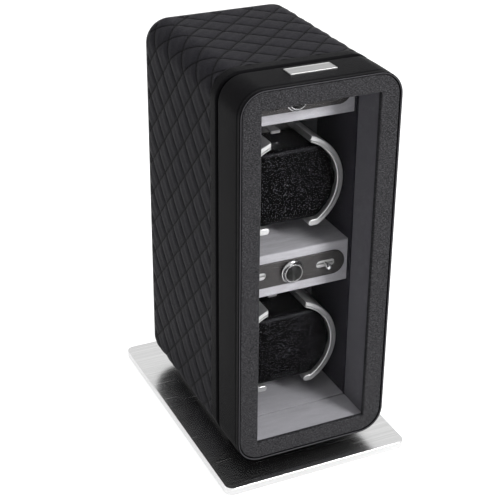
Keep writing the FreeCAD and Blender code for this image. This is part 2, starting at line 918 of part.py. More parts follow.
def motor_bracket(tier):
    """Bent plate that stands off the partition and carries the motor."""
    middle = motor_middle(tier)
    low = middle - bracket_half_height
    high = middle + bracket_half_height
    bracket = block(-bracket_half_width, bracket_half_width, bracket_front, bracket_back, low, high)
    for side in (-1, 1):
        leg_in = side * (bracket_half_width - bracket_thickness)
        leg_out = side * bracket_half_width
        foot_out = side * (bracket_half_width + bracket_foot)
        bracket = bracket.fuse(block(min(leg_in, leg_out), max(leg_in, leg_out), board_back,
                                     bracket_back, low, high))
        bracket = bracket.fuse(block(min(leg_in, foot_out), max(leg_in, foot_out), board_back,
                                     board_back + bracket_thickness, low, high))
    bracket = bracket.cut(rod(motor_boss_radius + motor_boss_gap, 0, middle, bracket_front, bracket_back))
    return bracket.removeSplitter()


def motor(tier):
    """Small gear motor, its boss let into the bracket."""
    bore = spindle_radius + running_gap
    bore_end = bracket_back + spindle_engagement + end_play
    gearbox_back = bracket_back + gearbox_length
    can_back = gearbox_back + motor_can_length
    cap_back = can_back + motor_cap_length
    profile = [
        (bore, bracket_front),
        (motor_boss_radius, bracket_front),
        (motor_boss_radius, bracket_back),
        (gearbox_radius, bracket_back),
        (gearbox_radius, gearbox_back),
        (motor_can_radius, gearbox_back),
        (motor_can_radius, can_back),
        (motor_cap_radius, can_back),
        (motor_cap_radius, cap_back),
        (0, cap_back),
        (0, bore_end),
        (bore, bore_end),
    ]
    return turned(profile, 0, motor_middle(tier))


# Door

def door_opening(grow, y0, y1):
    """Square hollow of the door, grown all round."""
    half = inside_half + grow
    return block(-half, half, y0, y1, door_inside_floor - grow, door_inside_ceiling + grow)


def glass_pane(gap):
    """Pane in its ledge, or the ledge itself with no gap."""
    grow = door_lining_thickness + glass_ledge - gap
    return rounded_bar(2 * (inside_half + grow), door_inside_height + 2 * grow,
                       glass_corner_radius - gap, panel_back, glass_back, door_inside_middle)


def wrap_inside(shrink, y0, y1):
    """Bar that fills the leather band of the door, or a little less."""
    inset = wrap_thickness + shrink
    return rounded_bar(box_width - 2 * inset, box_height - 2 * inset, corner_radius - inset, y0, y1)


def door_wrap():
    """Leather band round the door, with rolled edges."""
    band = rounded_bar(box_width, box_height, corner_radius, door_front, door_back)
    band = round_end(band, door_front, wrap_front_round)
    band = round_end(band, door_back, wrap_back_round)
    return band.cut(wrap_inside(0, door_front, door_back))


def door_frame():
    """Board ring with a ledge for the glass at its front."""
    frame = wrap_inside(0, panel_back, door_back)
    frame = frame.cut(door_opening(door_lining_thickness, panel_back, door_back))
    frame = frame.cut(glass_pane(0))
    x, z = magnet_place()
    return frame.cut(rod(magnet_radius + magnet_gap, x, z, door_back - magnet_depth, door_back))


def door_front_panel():
    """Leather-covered panel with the window, set in the band behind a narrow groove."""
    panel = wrap_inside(panel_groove, panel_front, panel_back)
    return panel.cut(door_opening(-window_lip, panel_front, panel_back))


def door_lining():
    """Suede lining of the door's hollow, behind the glass."""
    lining = door_opening(door_lining_thickness, glass_back, door_back)
    return lining.cut(door_opening(0, glass_back, door_back))


def nameplate():
    """Bare metal plate on top of the door, near its back edge."""
    back = door_back - nameplate_back_margin
    plate = block(nameplate_shift - nameplate_width / 2, nameplate_shift + nameplate_width / 2,
                  back - nameplate_depth, back, box_top, box_top + nameplate_thickness)
    corners = [edge for edge in plate.Edges if edge.BoundBox.ZLength > nameplate_thickness / 2]
    return plate.makeFillet(nameplate_thickness, corners)


# Hinges

def hinge_middles():
    return [box_bottom + hinge_inset + hinge_length / 2, box_top - hinge_inset - hinge_length / 2]


def hinge_leaf(middle, face, side, knuckles):
    """Leaf that lies on one face of the gap, with its knuckles round the pin."""
    thickness = (door_gap - hinge_leaf_gap) / 2
    low_y = min(face, face + side * thickness)
    edge = box_width / 2
    leaf = block(edge - hinge_leaf_width, edge, low_y, low_y + thickness,
                 middle - hinge_length / 2, middle + hinge_length / 2)
    for low, high in knuckles:
        web = block(edge, hinge_x, low_y, low_y + thickness, low, high)
        barrel = Part.makeCylinder(hinge_barrel_radius, high - low, Vec(hinge_x, hinge_y, low), upward)
        leaf = leaf.fuse(web).fuse(barrel)
    bore = Part.makeCylinder(hinge_pin_radius + running_gap, hinge_length,
                             Vec(hinge_x, hinge_y, middle - hinge_length / 2), upward)
    return leaf.cut(bore).removeSplitter()


def hinge_case_leaves():
    """Leaves on the case, each with the two outer knuckles."""
    half = hinge_length / 6
    leaves = []
    for middle in hinge_middles():
        ends = [(middle - hinge_length / 2, middle - half), (middle + half, middle + hinge_length / 2)]
        leaves.append(hinge_leaf(middle, case_front, -1, ends))
    return Part.makeCompound(leaves)


def hinge_door_leaves():
    """Leaves on the door, each with the middle knuckle."""
    half = hinge_length / 6 - hinge_knuckle_gap
    leaves = []
    for middle in hinge_middles():
        leaves.append(hinge_leaf(middle, door_back, 1, [(middle - half, middle + half)]))
    return Part.makeCompound(leaves)


def hinge_pins():
    """Pins with a flat head that rests on the upper knuckle."""
    pins = []
    for middle in hinge_middles():
        top = middle + hinge_length / 2
        shank = Part.makeCylinder(hinge_pin_radius, hinge_length,
                                  Vec(hinge_x, hinge_y, middle - hinge_length / 2), upward)
        head = Part.makeCylinder(hinge_pin_head_radius, hinge_pin_head_height,
                                 Vec(hinge_x, hinge_y, top), upward)
        pins.append(shank.fuse(head))
    return Part.makeCompound(pins)


def all_parts():
    parts = {
        "base_pad": base_pad(),
        "base_plate": base_plate(),
        "plinth": plinth(),
        "base_screws": base_screws(),
        "case_shell": case_shell(),
        "quilted_cover": quilted_cover(),
        "case_binding": case_binding(),
        "back_panel": back_panel(),
        "back_panel_screws": back_panel_screws(),
        "dc_inlet": dc_inlet(),
        "lining_left": lining_side(-1),
        "lining_right": lining_side(1),
        "lining_floor": lining_floor(),
        "partition_board": partition_board(),
        "partition_lining": partition_lining(),
        "case_magnet": magnet(case_front, case_front + magnet_depth),
        "door_wrap": door_wrap(),
        "door_frame": door_frame(),
        "door_front_panel": door_front_panel(),
        "door_glass": glass_pane(glass_gap),
        "door_lining": door_lining(),
        "door_magnet": magnet(door_back - magnet_depth, door_back),
        "nameplate": nameplate(),
        "hinge_case_leaves": hinge_case_leaves(),
        "hinge_door_leaves": hinge_door_leaves(),
        "hinge_pins": hinge_pins(),
    }
    for name, tier in tiers.items():
        parts[name + "_console"] = console(tier)
        parts[name + "_control_plate"] = control_plate(tier)
        parts[name + "_control_board"] = control_board(tier)
        parts[name + "_speed_switch"] = speed_switch(tier)
        parts[name + "_direction_switches"] = direction_switches(tier)
        parts[name + "_knob"] = knob(tier)
        parts[name + "_left_lever"] = lever(-1, tier)
        parts[name + "_right_lever"] = lever(1, tier)
        parts[name + "_drum_cup"] = drum_cup(tier)
        parts[name + "_drum_shaft"] = drum_shaft(tier)
        parts[name + "_drum_pulley"] = drum_pulley(tier)
        parts[name + "_shaft_bush"] = shaft_bush(tier)
        parts[name + "_cushion"] = cushion(tier)
        parts[name + "_motor"] = motor(tier)
        parts[name + "_motor_bracket"] = motor_bracket(tier)
        parts[name + "_motor_pulley"] = motor_pulley(tier)
        parts[name + "_belt"] = belt(tier)
    return parts


os.makedirs("parts", exist_ok=True)
for node, shape in all_parts().items():
    shape.exportStep("parts/" + node + ".step")
    print(node, len(shape.Solids), round(shape.Volume, 1), shape.isValid())
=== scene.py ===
import math
import bmesh
import bpy
import numpy as np
from mathutils import Matrix, Vector


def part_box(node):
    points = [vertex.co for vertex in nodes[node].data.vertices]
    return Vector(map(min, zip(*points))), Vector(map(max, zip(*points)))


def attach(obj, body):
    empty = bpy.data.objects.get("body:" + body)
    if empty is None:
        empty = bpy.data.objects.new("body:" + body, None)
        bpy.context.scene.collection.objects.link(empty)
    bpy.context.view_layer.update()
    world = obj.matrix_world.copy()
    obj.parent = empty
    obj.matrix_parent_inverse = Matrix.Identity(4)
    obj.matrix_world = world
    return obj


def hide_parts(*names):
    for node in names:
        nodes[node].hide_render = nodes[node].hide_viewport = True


# A watch winder box for two watches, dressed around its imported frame.
# Shapes are worked out in millimetres and go into the meshes in metres.

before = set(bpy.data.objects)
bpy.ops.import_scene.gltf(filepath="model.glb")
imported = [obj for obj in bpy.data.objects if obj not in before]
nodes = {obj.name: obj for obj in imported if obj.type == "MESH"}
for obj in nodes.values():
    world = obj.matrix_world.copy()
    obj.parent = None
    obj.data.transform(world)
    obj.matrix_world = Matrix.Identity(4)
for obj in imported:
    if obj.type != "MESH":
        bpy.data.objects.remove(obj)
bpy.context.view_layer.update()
scene = bpy.context.scene
mm = 0.001
sameSpot = 0.02  # points of a mesh this near, in millimetres, become one
tiers = ("lower", "upper")


def ends(node):
    # lowest and highest corner of a node at rest, in millimetres
    low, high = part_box(node)
    return np.array(low) / mm, np.array(high) / mm


# Meshes from arrays

def gridFaces(rows, columns, closeRows=False, closeColumns=False):
    # four-sided faces over a grid of points, joined end to start along a closed way
    r, c = np.meshgrid(np.arange(rows if closeRows else rows - 1),
                       np.arange(columns if closeColumns else columns - 1), indexing="ij")
    nextR, nextC = (r + 1) % rows, (c + 1) % columns
    corners = [r * columns + c, nextR * columns + c, nextR * columns + nextC, r * columns + nextC]
    return np.stack(corners, -1).reshape(-1, 4)


def putObject(name, data):
    obj = bpy.data.objects.new(name, data)
    scene.collection.objects.link(obj)
    return obj


def coat(mesh, material):
    # the mesh takes this finish alone
    mesh.materials.clear()
    mesh.materials.append(material)


def paint(mesh, marks):
    # named numbers on the points of a mesh, for its material to read
    for label, values in marks.items():
        layer = mesh.attributes.new(label, "FLOAT", "POINT")
        layer.data.foreach_set("value", np.asarray(values, np.float32).ravel())


def putMesh(name, points, faces, material, weld=0.0, marks=None):
    # points in millimetres, faces as rows of point numbers; weld merges points closer than that
    mesh = bpy.data.meshes.new(name)
    mesh.from_pydata((np.asarray(points).reshape(-1, 3) * mm).tolist(), [], [list(f) for f in faces])
    paint(mesh, marks or {})
    tidy = bmesh.new()
    tidy.from_mesh(mesh)
    if weld:
        bmesh.ops.remove_doubles(tidy, verts=tidy.verts, dist=weld * mm)
    bmesh.ops.recalc_face_normals(tidy, faces=tidy.faces)
    tidy.to_mesh(mesh)
    tidy.free()
    coat(mesh, material)
    mesh.shade_smooth()
    return putObject(name, mesh)


def mergedCopy(name, node):
    # copy of a node's mesh with its split corners merged
    mesh = bpy.data.meshes.new(name)
    merged = bmesh.new()
    merged.from_mesh(nodes[node].data)
    bmesh.ops.remove_doubles(merged, verts=merged.verts, dist=sameSpot * mm)
    merged.to_mesh(mesh)
    merged.free()
    return putObject(name, mesh)


def meshPoints(mesh):
    flat = np.zeros(3 * len(mesh.vertices), np.float32)
    mesh.vertices.foreach_get("co", flat)
    return flat.reshape(-1, 3).astype(float)


softEdge = {"foldDegrees": 30, "sharpDegrees": 35}


def softEdges(name, node, material, chosen, width, segments=3):
    # copy of a node with a round on the sharp edges whose two ends, in millimetres, are both chosen
    obj = mergedCopy(name, node)
    mesh = obj.data
    pairs = np.zeros(2 * len(mesh.edges), np.int32)
    mesh.edges.foreach_get("vertices", pairs)
    picked = chosen(meshPoints(mesh) / mm)[pairs.reshape(-1, 2)].all(1)
    folds = bmesh.new()
    folds.from_mesh(mesh)
    fold = math.radians(softEdge["foldDegrees"])
    picked &= np.array([edge.calc_face_angle(0) > fold for edge in folds.edges])
    folds.free()
    weights = mesh.attributes.new("bevel_weight_edge", "FLOAT", "EDGE")
    weights.data.foreach_set("value", picked.astype(np.float32))
    rounding = obj.modifiers.new("rounding", "BEVEL")
    rounding.limit_method = "WEIGHT"
    rounding.width = width * mm
    rounding.segments = segments
    rounding.use_clamp_overlap = False
    flats = obj.modifiers.new("flats", "WEIGHTED_NORMAL")  # broad faces stay flat up to the round
    flats.keep_sharp = True
    coat(mesh, material)
    mesh.shade_smooth()
    return sharpen(obj, softEdge["sharpDegrees"])


def sharpen(obj, degrees):
    obj.data.set_sharp_from_angle(angle=math.radians(degrees))
    return obj


def dress(obj, body, slotName, *replaced):
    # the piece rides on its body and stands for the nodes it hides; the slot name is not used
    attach(obj, body)
    if replaced:
        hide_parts(*replaced)
    return obj


# Outline round the box, shared by the quilting, the binding and the door

coverLow, coverHigh = ends("quilted_cover")
boxShape = {"cornerRadius": 20.0, "halfWidth": coverHigh[0], "low": coverLow[2], "high": coverHigh[2],
            "straightStep": 6.0, "cornerSteps": 18}
boxMiddle = (boxShape["low"] + boxShape["high"]) / 2
coreX = boxShape["halfWidth"] - boxShape["cornerRadius"]
coreZ = (boxShape["high"] - boxShape["low"]) / 2 - boxShape["cornerRadius"]
quarterArc = math.pi / 2 * boxShape["cornerRadius"]
outlineStops = np.cumsum([0, coreX, quarterArc, 2 * coreZ, quarterArc, 2 * coreX,
                          quarterArc, 2 * coreZ, quarterArc, coreX])
outlineLength = outlineStops[-1]


def boxOutline(distance):
    # rounded rectangle by distance along it from the middle of the top, to the right first: the centre of the
    # corner's arc runs round a smaller rectangle while the normal turns a quarter at each corner
    s = np.mod(distance, outlineLength)
    core = np.stack([np.interp(s, outlineStops, coreX * np.array([0, 1, 1, 1, 1, -1, -1, -1, -1, 0])),
                     np.interp(s, outlineStops, coreZ * np.array([1, 1, 1, -1, -1, -1, -1, 1, 1, 1]))], -1)
    turn = np.radians(np.interp(s, outlineStops, [90, 90, 0, 0, -90, -90, -180, -180, -270, -270]))
    return core, np.stack([np.cos(turn), np.sin(turn)], -1)


def onBox(distance, rise, y):
    # point that stands a rise outside the box's outline, at a depth y
    core, normal = boxOutline(distance)
    flat = core + normal * (boxShape["cornerRadius"] + np.asarray(rise))[..., None]
    return np.stack([flat[..., 0], np.broadcast_to(y, flat[..., 0].shape), flat[..., 1] + boxMiddle], -1)


def outlineSteps():
    # distances along the outline, closer together round the corners, which are every second stretch
    parts = []
    for number, (start, stop) in enumerate(zip(outlineStops, outlineStops[1:])):
        straight = max(1, math.ceil((stop - start) / boxShape["straightStep"]))
        count = boxShape["cornerSteps"] if number % 2 else straight
        parts.append(np.linspace(start, stop, count, endpoint=False))
    return np.concatenate(parts)


def ringAlongOutline(name, rise, depth, material):
    # closed profile of rises and depths carried round the box's outline
    s = outlineSteps()
    points = onBox(s[:, None], np.asarray(rise)[None, :] + 0 * s[:, None], np.asarray(depth)[None, :])
    return putMesh(name, points, gridFaces(len(s), len(rise), True, True), material)


def quarterRound(centreRise, centreDepth, radius, fromDegrees, toDegrees, count=7):
    # arc of a profile: rises by the cosine and depths by the sine
    turn = np.radians(np.linspace(fromDegrees, toDegrees, count))
    return centreRise + radius * np.cos(turn), centreDepth + radius * np.sin(turn)


bead = {"places": (-0.5, -0.34, 0.34, 0.5), "girths": (0.35, 1.0, 1.0, 0.35), "sides": 6}


def threadRow(name, s, y, directionS, directionY, rise, stitch, material):
    # stitches as slim beads on the box's outline: rings along each stitch, smaller at its ends
    along = stitch["length"] * np.array(bead["places"])
    girth = stitch["radius"] * np.array(bead["girths"])
    rings, sides = len(along), bead["sides"]
    turn = np.arange(sides) * 2 * math.pi / sides
    across = girth[:, None] * np.cos(turn)
    lift = girth[:, None] * np.sin(turn)
    alongGrid = np.broadcast_to(along[:, None], across.shape)
    wayS, wayY = directionS[:, None, None], directionY[:, None, None]
    place = s[:, None, None] + alongGrid * wayS - across * wayY
    depth = y[:, None, None] + alongGrid * wayY + across * wayS
    points = onBox(place, rise + np.broadcast_to(lift, place.shape), depth)
    count = rings * sides
    one = [list(f) for f in gridFaces(rings, sides, False, True)]
    one += [list(range(sides)), list(range(count - sides, count))]
    faces = [[corner + count * number for corner in face] for number in range(len(s)) for face in one]
    return putMesh(name, points, faces, material)


def easedSteps(count):
    # 0 to 1 as (1 - cos t) / 2, closer together at both ends
    return 0.5 - 0.5 * np.cos(np.linspace(0, math.pi, count))


# Node helpers

def addNode(tree, kind, values=None, **settings):
    node = tree.nodes.new(kind)
    for key, value in settings.items():
        setattr(node, key, value)
    for socket, value in (values or {}).items():
        if isinstance(value, bpy.types.NodeSocket):
            tree.links.new(value, node.inputs[socket])
        else:
            node.inputs[socket].default_value = value
    return node


def mathNode(tree, operation, a, b):
    return addNode(tree, "ShaderNodeMath", {0: a, 1: b}, operation=operation).outputs[0]


def vectorNode(tree, operation, a, b):
    # a number that scales a vector goes to the socket named Scale
    second = "Scale" if operation == "SCALE" else 1
    return addNode(tree, "ShaderNodeVectorMath", {0: a, second: b}, operation=operation).outputs[0]


def noise(tree, vector, scale, detail, roughness=0.5, distortion=0.0):
    return addNode(tree, "ShaderNodeTexNoise", {"Vector": vector, "Scale": scale, "Detail": detail,
                                                "Roughness": roughness, "Distortion": distortion}).outputs


def mixColour(tree, factor, a, b):
    # the mix node's colours are its sockets numbered 6 and 7
    return addNode(tree, "ShaderNodeMix", {0: factor, 6: a, 7: b}, data_type="RGBA").outputs[2]


def spread(tree, value, low, high):
    # a 0 to 1 value spread between two limits
    return addNode(tree, "ShaderNodeMapRange", {"Value": value, "To Min": low, "To Max": high}).outputs[0]


def ramp(tree, value, low, high):
    # 0 up to a low value, 1 from a high value
    limits = {"Value": value, "From Min": low, "From Max": high}
    return addNode(tree, "ShaderNodeMapRange", limits).outputs[0]


def newGroup(name, inputs, outputs):
    group = bpy.data.node_groups.new(name, "ShaderNodeTree")
    for label, kind in inputs:
        group.interface.new_socket(label, in_out="INPUT", socket_type="NodeSocket" + kind)
    for label in outputs:
        group.interface.new_socket(label, in_out="OUTPUT", socket_type="NodeSocketFloat")
    given = group.nodes.new("NodeGroupInput").outputs
    taken = group.nodes.new("NodeGroupOutput").inputs
    return group, given, taken


grainShape = {"wander": 0.45, "reach": 0.9, "fine": 3.0, "pebbleShare": 0.8, "fineShare": 0.3,
              "patches": 38.0, "tips": 2.0, "tipStretch": (0.45, 1.0, 1.2)}


def makeGrainGroup():
    # pebbles between creases, from the distance to the edges of wandering cells
    group, given, taken = newGroup(
        "leatherGrain", [("Vector", "Vector"), ("Cells", "Float"), ("Crease", "Float")],
        ["Height", "Creases", "Patches", "GlintTips"])
    place, count = given["Vector"], given["Cells"]
    wanderScale = mathNode(group, "MULTIPLY", count, grainShape["wander"])
    wander = noise(group, place, wanderScale, detail=2.0)["Color"]
    shift = vectorNode(group, "SUBTRACT", wander, (0.5, 0.5, 0.5))  # from the middle of the noise
    reach = vectorNode(group, "SCALE", shift, mathNode(group, "DIVIDE", grainShape["reach"], count))
    bent = vectorNode(group, "ADD", place, reach)
    cells = addNode(group, "ShaderNodeTexVoronoi", {"Vector": bent, "Scale": count},
                    feature="DISTANCE_TO_EDGE").outputs["Distance"]
    pebble = addNode(group, "ShaderNodeMapRange", {"Value": cells, "From Max": given["Crease"]},
                     interpolation_type="SMOOTHSTEP").outputs[0]
    fine = noise(group, place, mathNode(group, "MULTIPLY", count, grainShape["fine"]), detail=3.0)["Fac"]
    height = mathNode(group, "ADD", mathNode(group, "MULTIPLY", pebble, grainShape["pebbleShare"]),
                      mathNode(group, "MULTIPLY", fine, grainShape["fineShare"]))
    # pale tips of the grain, painted glints of light
    wide = vectorNode(group, "MULTIPLY", place, grainShape["tipStretch"])
    tips = noise(group, wide, mathNode(group, "MULTIPLY", count, grainShape["tips"]), detail=1.0)["Fac"]
    group.links.new(height, taken["Height"])
    group.links.new(mathNode(group, "SUBTRACT", 1.0, pebble), taken["Creases"])
    group.links.new(tips, taken["GlintTips"])
    group.links.new(noise(group, place, grainShape["patches"], detail=4.0)["Fac"], taken["Patches"])
    return group


napShape = {"stretch": (0.22, 1.0, 1.0), "strokes": 160.0, "strokeRamp": (0.3, 0.7),
            "fleckRamp": (0.35, 0.65)}


def makeNapGroup():
    # brushed pile: long strokes where the nap lies over, drawn out along X, and fine fibres
    group, given, taken = newGroup("suedeNap", [("Vector", "Vector"), ("Fibres", "Float")],
                                   ["Height", "Strokes", "Flecks"])
    drawn = vectorNode(group, "MULTIPLY", given["Vector"], napShape["stretch"])
    strokes = noise(group, drawn, napShape["strokes"], detail=6.0, roughness=0.72, distortion=0.4)["Fac"]
    fibres = noise(group, given["Vector"], given["Fibres"], detail=4.0, roughness=0.7)["Fac"]
    group.links.new(fibres, taken["Height"])
    group.links.new(ramp(group, strokes, *napShape["strokeRamp"]), taken["Strokes"])
    group.links.new(ramp(group, fibres, *napShape["fleckRamp"]), taken["Flecks"])
    return group


brushShape = {"clouds": 22.0, "streakRamp": (0.3, 0.7), "streakGloss": 0.6, "cloudGloss": 0.4,
              "spunTurn": 0.25}


def makeBrushGroup():
    # brushing: noise drawn out along one way by very different scales along X, Y and Z
    group, given, taken = newGroup("brushedLines", [("Vector", "Vector"), ("Lines", "Vector")],
                                   ["Height", "Streaks", "Clouds"])
    drawn = vectorNode(group, "MULTIPLY", given["Vector"], given["Lines"])
    streaks = noise(group, drawn, 1.0, detail=4.0, roughness=0.65)["Fac"]
    group.links.new(streaks, taken["Height"])
    group.links.new(ramp(group, streaks, *brushShape["streakRamp"]), taken["Streaks"])
    clouds = noise(group, given["Vector"], brushShape["clouds"], detail=3.0)["Fac"]
    group.links.new(clouds, taken["Clouds"])
    return group


grainGroup = makeGrainGroup()
napGroup = makeNapGroup()
brushGroup = makeBrushGroup()


def startMaterial(name, group, values):
    # a material with one effect group already placed on Object coordinates
    material = bpy.data.materials.new(name)
    material.use_nodes = True
    tree = material.node_tree
    shader = tree.nodes["Principled BSDF"]
    place = addNode(tree, "ShaderNodeTexCoord").outputs["Object"]
    effect = addNode(tree, "ShaderNodeGroup", node_tree=group)
    tree.links.new(place, effect.inputs["Vector"])
    for socket, value in values.items():
        effect.inputs[socket].default_value = value
    return material, tree, shader, effect.outputs


def bumpInto(tree, shader, height, relief):
    bump = addNode(tree, "ShaderNodeBump", {"Height": height, "Distance": relief * mm})
    tree.links.new(bump.outputs["Normal"], shader.inputs["Normal"])


def leather(name, look):
    # grain with darker creases, pale tips painted as glints of light, soft patches and, on sewn pieces, dark
    # seam lines with painted shade beside them
    material, tree, shader, grain = startMaterial(name, grainGroup, {"Cells": 1 / (look["cell"] * mm),
                                                                     "Crease": look["creaseWidth"]})
    worn = mixColour(tree, grain["Patches"], look["dark"], look["light"])
    creased = mathNode(tree, "MULTIPLY", grain["Creases"], look["creaseShade"])
    colour = mixColour(tree, creased, worn, look["deep"])
    height = grain["Height"]
    # the pale tips are painted glints of light on the grain's tops
    tips = ramp(tree, grain["GlintTips"], *look["tips"])
    if look.get("pebbledFront"):  # grain and painted glints only on the front face, and a painted highlight line along its upper edge
        front = addNode(tree, "ShaderNodeAttribute", attribute_name="front").outputs["Fac"]
        edgeHighlight = addNode(tree, "ShaderNodeAttribute", attribute_name="edgeHighlight").outputs["Fac"]
        height = mathNode(tree, "MULTIPLY", height, front)
        tips = mathNode(tree, "MAXIMUM", mathNode(tree, "MULTIPLY", tips, front), edgeHighlight)
    colour = mixColour(tree, tips, colour, look["tip"])
    if look.get("shadedSeams"):
        # dark along the sewn lines: the seam's own dark line and painted shade in its valley
        seamShade = addNode(tree, "ShaderNodeAttribute", attribute_name="seamShade").outputs["Fac"]
        colour = mixColour(tree, seamShade, colour, look["deep"])
    tree.links.new(colour, shader.inputs["Base Color"])
    tree.links.new(spread(tree, grain["Patches"], *look["roughness"]), shader.inputs["Roughness"])
    shader.inputs["Specular IOR Level"].default_value = look["specular"]
    bumpInto(tree, shader, height, look["relief"])
    return material


pile = {"fleckShare": 0.35, "roughness": (0.86, 0.98), "specular": 0.12, "sheenRoughness": 0.6}


def suede(name, look):
    # pale and dark strokes of the nap, fine flecks and a soft sheen
    material, tree, shader, nap = startMaterial(name, napGroup, {"Fibres": look["fibres"]})
    stroked = mixColour(tree, nap["Strokes"], look["dark"], look["light"])
    flecks = mathNode(tree, "MULTIPLY", nap["Flecks"], pile["fleckShare"])
    tree.links.new(mixColour(tree, flecks, stroked, look["fleck"]), shader.inputs["Base Color"])
    tree.links.new(spread(tree, nap["Strokes"], *pile["roughness"]), shader.inputs["Roughness"])
    shader.inputs["Specular IOR Level"].default_value = pile["specular"]
    shader.inputs["Sheen Weight"].default_value = look["sheen"]
    shader.inputs["Sheen Roughness"].default_value = pile["sheenRoughness"]
    bumpInto(tree, shader, nap["Height"], look["relief"])
    return material


def brushedMetal(name, look):
    # streaks of a lighter and a darker metal along the brushing, with broad clouds in the gloss
    material, tree, shader, brush = startMaterial(name, brushGroup, {"Lines": look["lines"]})
    colour = mixColour(tree, brush["Streaks"], look["dark"], look["light"])
    tree.links.new(colour, shader.inputs["Base Color"])
    gloss = mathNode(tree, "ADD", mathNode(tree, "MULTIPLY", brush["Streaks"], brushShape["streakGloss"]),
                     mathNode(tree, "MULTIPLY", brush["Clouds"], brushShape["cloudGloss"]))
    tree.links.new(spread(tree, gloss, *look["roughness"]), shader.inputs["Roughness"])
    shader.inputs["Metallic"].default_value = 1.0
    if "spun" in look:  # fine circles round the piece's own line along Y stretch highlights across them
        shader.inputs["Anisotropic"].default_value = look["spun"]
        shader.inputs["Anisotropic Rotation"].default_value = brushShape["spunTurn"]
        circles = addNode(tree, "ShaderNodeTangent", direction_type="RADIAL", axis="Y")
        tree.links.new(circles.outputs[0], shader.inputs["Tangent"])
    bumpInto(tree, shader, brush["Height"], look["relief"])
    return material


def moulded(name, look):
    # moulded or coated surface: a fine even texture with faint clouding
    material, tree, shader, nap = startMaterial(name, napGroup, {"Fibres": look["texture"]})
    colour = mixColour(tree, nap["Strokes"], look["dark"], look["light"])
    tree.links.new(colour, shader.inputs["Base Color"])
    tree.links.new(spread(tree, nap["Flecks"], *look["roughness"]), shader.inputs["Roughness"])
    shader.inputs["Metallic"].default_value = look.get("metal", 0.0)
    shader.inputs["Specular IOR Level"].default_value = look.get("specular", 0.5)
    bumpInto(tree, shader, nap["Height"], look["relief"])
    return material


def grey(value, blue=0.0, redShare=0.2):
    # a near-neutral colour, a little towards blue and less towards red
    return (value * (1 + redShare * blue), value, value * (1 + blue), 1.0)


def liningSuede(name, sheen, blue, dark, light, fleck):
    # the linings share one pile and differ in sheen and tone; the darker tones are the pale lining with
    # painted shade
    return suede(name, {"fibres": 2600.0, "relief": 0.10, "sheen": sheen, "dark": grey(dark, blue),
                        "light": grey(light, blue), "fleck": grey(fleck, blue)})


quiltLeather = leather("quiltLeather", {
    "cell": 1.1, "creaseWidth": 0.16, "creaseShade": 0.35, "relief": 0.08, "specular": 0.016, "shadedSeams": True,
    "dark": grey(0.010, 0.22), "light": grey(0.018, 0.22), "deep": grey(0.001), "tip": grey(0.026, 0.22),
    "tips": (0.50, 0.70), "roughness": (0.36, 0.50)})
bandLeather = leather("bandLeather", {
    "cell": 0.8, "creaseWidth": 0.14, "creaseShade": 0.25, "relief": 0.05, "specular": 0.008,
    "dark": grey(0.0037, 0.14), "light": grey(0.006, 0.14), "deep": grey(0.003), "tip": grey(0.008, 0.14),
    "tips": (0.50, 0.70), "roughness": (0.28, 0.38)})
# pale rim leather: a painted highlight line round the door's front edge
rimHighlightLeather = leather("rimHighlightLeather", {
    "cell": 0.6, "creaseWidth": 0.12, "creaseShade": 0.20, "relief": 0.03, "specular": 0.06,
    "dark": grey(0.052, 0.10), "light": grey(0.070, 0.10), "deep": grey(0.024), "tip": grey(0.085, 0.10),
    "tips": (0.50, 0.70), "roughness": (0.26, 0.36)})
panelLeather = leather("panelLeather", {
    "cell": 1.1, "creaseWidth": 0.40, "creaseShade": 0.60, "relief": 0.20, "specular": 0.08,
    "dark": grey(0.019, 0.10), "light": grey(0.029, 0.10), "deep": grey(0.008), "tip": grey(0.078, 0.10),
    "tips": (0.46, 0.70), "roughness": (0.34, 0.46)})
cushionLeather = leather("cushionLeather", {
    "cell": 1.05, "creaseWidth": 0.45, "creaseShade": 0.6, "relief": 0.2, "specular": 0.02,
    "pebbledFront": True, "dark": grey(0.001, 0.15), "light": grey(0.002, 0.15), "deep": grey(0.001),
    "tip": grey(0.20, 0.16), "tips": (0.65, 0.75), "roughness": (0.24, 0.34)})
threadMaterial = moulded("blackThread", {
    "texture": 5200.0, "relief": 0.05, "dark": grey(0.006), "light": grey(0.014), "roughness": (0.5, 0.7),
    "specular": 0.05})
paleSuede = liningSuede("paleSuede", sheen=0.08, blue=0.06, dark=0.44, light=0.66, fleck=0.42)
# darker copies of the pale lining: painted shade on the floors, the sides and the back
shadedFloorSuede = liningSuede("shadedFloorSuede", sheen=0.05, blue=0.07, dark=0.37, light=0.46, fleck=0.33)
shadedDoorSuede = liningSuede("shadedDoorSuede", sheen=0.04, blue=0.11, dark=0.133, light=0.180, fleck=0.112)
shadedWallSuede = liningSuede("shadedWallSuede", sheen=0.02, blue=0.40, dark=0.020, light=0.030, fleck=0.016)
shadedBackSuede = liningSuede("shadedBackSuede", sheen=0.04, blue=0.10, dark=0.19, light=0.25, fleck=0.15)
print("materials: leathers and suedes")

